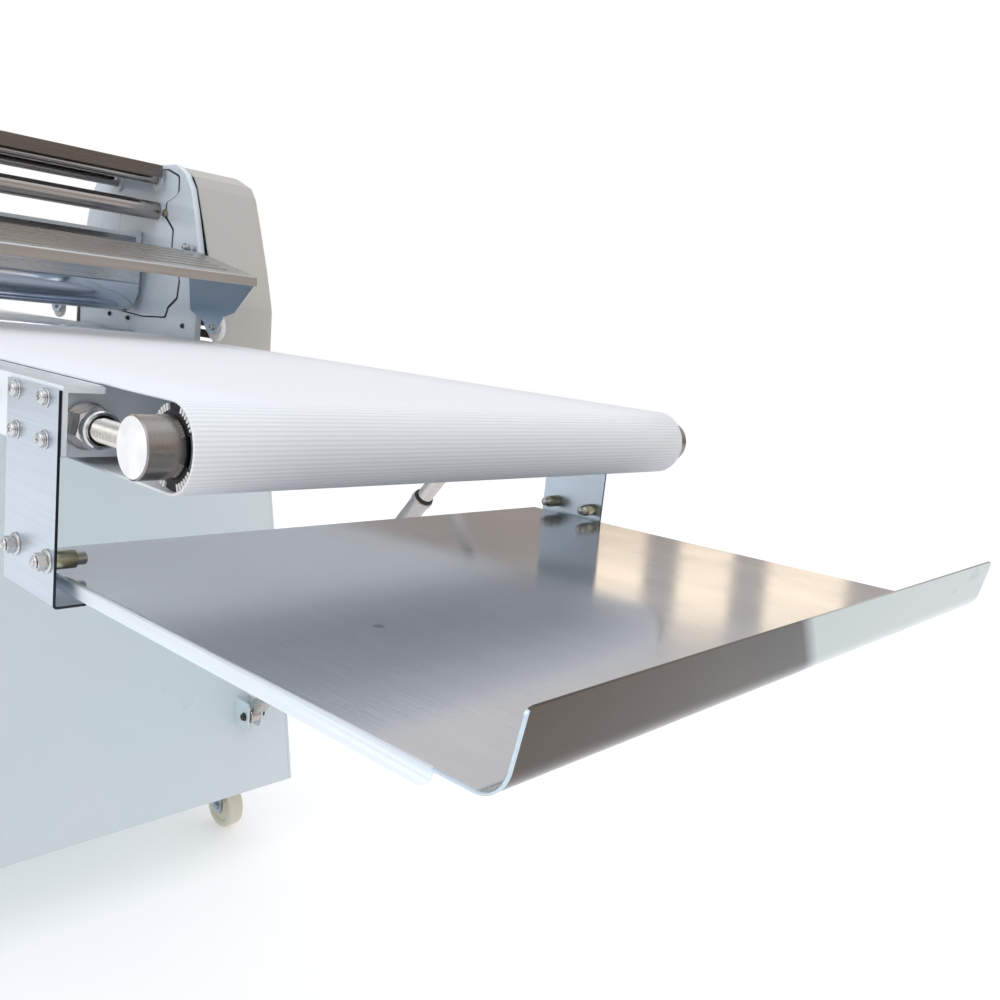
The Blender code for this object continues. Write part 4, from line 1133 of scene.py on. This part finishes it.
def make_world():
    """White behind the object, a warm room with windows and a front softbox in reflections and light."""
    world = bpy.data.worlds.new("studio")
    world.use_nodes = True
    bpy.context.scene.world = world
    tree = world.node_tree
    link = tree.links.new

    def maths(operation, first, second=0.0):
        node = tree.nodes.new("ShaderNodeMath")
        node.operation = operation
        for socket, value in zip(node.inputs, (first, second)):
            if isinstance(value, (int, float)):
                socket.default_value = value
            else:
                link(value, socket)
        return node.outputs["Value"]

    def ramp(value, low, high, out_low=0.0, out_high=1.0):
        node = tree.nodes.new("ShaderNodeMapRange")
        node.interpolation_type = "SMOOTHSTEP"
        for key, number in zip(("From Min", "From Max", "To Min", "To Max"), (low, high, out_low, out_high)):
            node.inputs[key].default_value = number
        link(value, node.inputs["Value"])
        return node.outputs["Result"]

    def band(value, low, high, soft):
        return maths("MULTIPLY", ramp(value, low - soft, low + soft), ramp(value, high - soft, high + soft, 1.0, 0.0))

    def blend(factor, first, second):
        node = tree.nodes.new("ShaderNodeMix")
        node.data_type = "RGBA"
        for socket, value in ((node.inputs[6], first), (node.inputs[7], second)):
            if isinstance(value, tuple):
                socket.default_value = (*value, 1.0)
            else:
                link(value, socket)
        link(factor, node.inputs[0])
        return node.outputs[2]

    place = tree.nodes.new("ShaderNodeTexCoord")
    split = tree.nodes.new("ShaderNodeSeparateXYZ")
    link(place.outputs["Generated"], split.inputs["Vector"])
    height = split.outputs["Z"]
    azimuth = maths("MULTIPLY", maths("ARCTAN2", split.outputs["Y"], split.outputs["X"]), 180.0 / math.pi)
    colour = blend(ramp(height, 0.20, 0.36), (0.50, 0.435, 0.39), (0.90, 0.84, 0.80))
    colour = blend(ramp(height, 0.45, 0.80), colour, (0.82, 0.86, 0.92))
    colour = blend(ramp(height, -0.25, 0.0, 1.0, 0.0), colour, (0.70, 0.71, 0.73))
    panes = None
    for low, high in ((123.4, 126.7), (118.3, 121.4), (111.9, 116.3), (105.0, 108.6)):
        pane = band(azimuth, low, high, 0.25)
        panes = pane if panes is None else maths("ADD", panes, pane)
    sash_bar = maths("SUBTRACT", 1.0, band(height, 0.183, 0.187, 0.002))
    rows = maths("MULTIPLY", band(height, 0.155, 0.245, 0.012), sash_bar)
    colour = blend(maths("MULTIPLY", panes, rows), colour, (1.88, 1.54, 1.16))
    soft_box = maths("MULTIPLY", band(azimuth, -150.0, -45.0, 18.0), band(height, -0.15, 0.72, 0.12))
    colour = blend(maths("MULTIPLY", soft_box, 0.9), colour, (1.02, 1.07, 1.13))
    eye = tree.nodes.new("ShaderNodeLightPath")
    colour = blend(eye.outputs["Is Camera Ray"], colour, (1.0, 1.0, 1.0))
    link(colour, tree.nodes["Background"].inputs["Color"])


def make_stage():
    mesh = bpy.data.meshes.new("floor")
    mesh.from_pydata([(-9, -9, 0), (9, -9, 0), (9, 9, 0), (-9, 9, 0)], [], [(0, 1, 2, 3)])
    floor = bpy.data.objects.new("floor", mesh)
    material = bpy.data.materials.new("pale_floor")
    material.use_nodes = True
    shader = material.node_tree.nodes["Principled BSDF"]
    shader.inputs["Base Color"].default_value = (0.93, 0.93, 0.935, 1.0)
    shader.inputs["Emission Color"].default_value = (1.0, 1.0, 1.0, 1.0)
    shader.inputs["Emission Strength"].default_value = 0.24
    shader.inputs["Roughness"].default_value = 0.85
    mesh.materials.append(material)
    bpy.context.scene.collection.objects.link(floor)
    make_world()
    bpy.context.scene.view_settings.view_transform = "Standard"
    area_light("key", (0.9, -2.8, 2.7), (0.7, 0.0, 0.75), (2.6, 1.8), 18.0, (0.99, 0.99, 1.0))
    area_light("top", (1.3, 0.4, 3.2), (0.8, 0.0, 0.7), (2.6, 2.0), 8.0, (0.96, 0.98, 1.0))
    area_light("back", (-2.9, 0.6, 2.7), (0.0, 0.0, 0.8), (2.4, 1.4), 8.0)


def dress_frame_nodes():
    """The CAD pieces that stay in view get their finish and softened edges."""
    looks = {
        "table_right_frame": ("table_white", 0.9), "table_left_frame": ("table_white", 0.9),
        "roller_carriage": ("plate_white", 1.0), "upper_scraper": ("sheet", 0.4), "lower_scraper": ("sheet", 0.4),
        "drive_motor": ("motor", 1.5), "cabinet_shell": ("cabinet", 0.8), "gap_shaft": ("bar", 0.6),
        "cabinet_panel_front": ("cabinet", 1.2), "cabinet_panel_rear": ("cabinet", 1.2),
        "head_plate_front": ("plate_white", 1.5), "head_plate_rear": ("plate_white", 1.5),
        # The flour tray's dark colour is painted shade.
        "head_cover_front": ("cover", 1.5), "head_cover_rear": ("cover", 1.5), "flour_tray": ("painted_shade_sheet", 0.5),
        "guard_right": ("guard", 0.5), "guard_left": ("guard", 0.5),
    }
    for word, _ in SIDES:
        for end, _ in ENDS:
            looks[f"caster_fork_{word}_{end}"] = ("blue_zinc", 0.5)
    for name, (key, bevel) in looks.items():
        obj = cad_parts[name]
        obj.data.materials.clear()
        obj.data.materials.append(MATERIALS[key])
        soften(obj, bevel)


MATERIALS = make_materials()
make_camera()
make_stage()
for table_word, table_side in SIDES:
    make_table(table_word, table_side)
for end_word, end_sign in ENDS:
    make_housing(end_word, end_sign)
make_controls()
make_cabinet_trim()
make_rollers()
dress_frame_nodes()
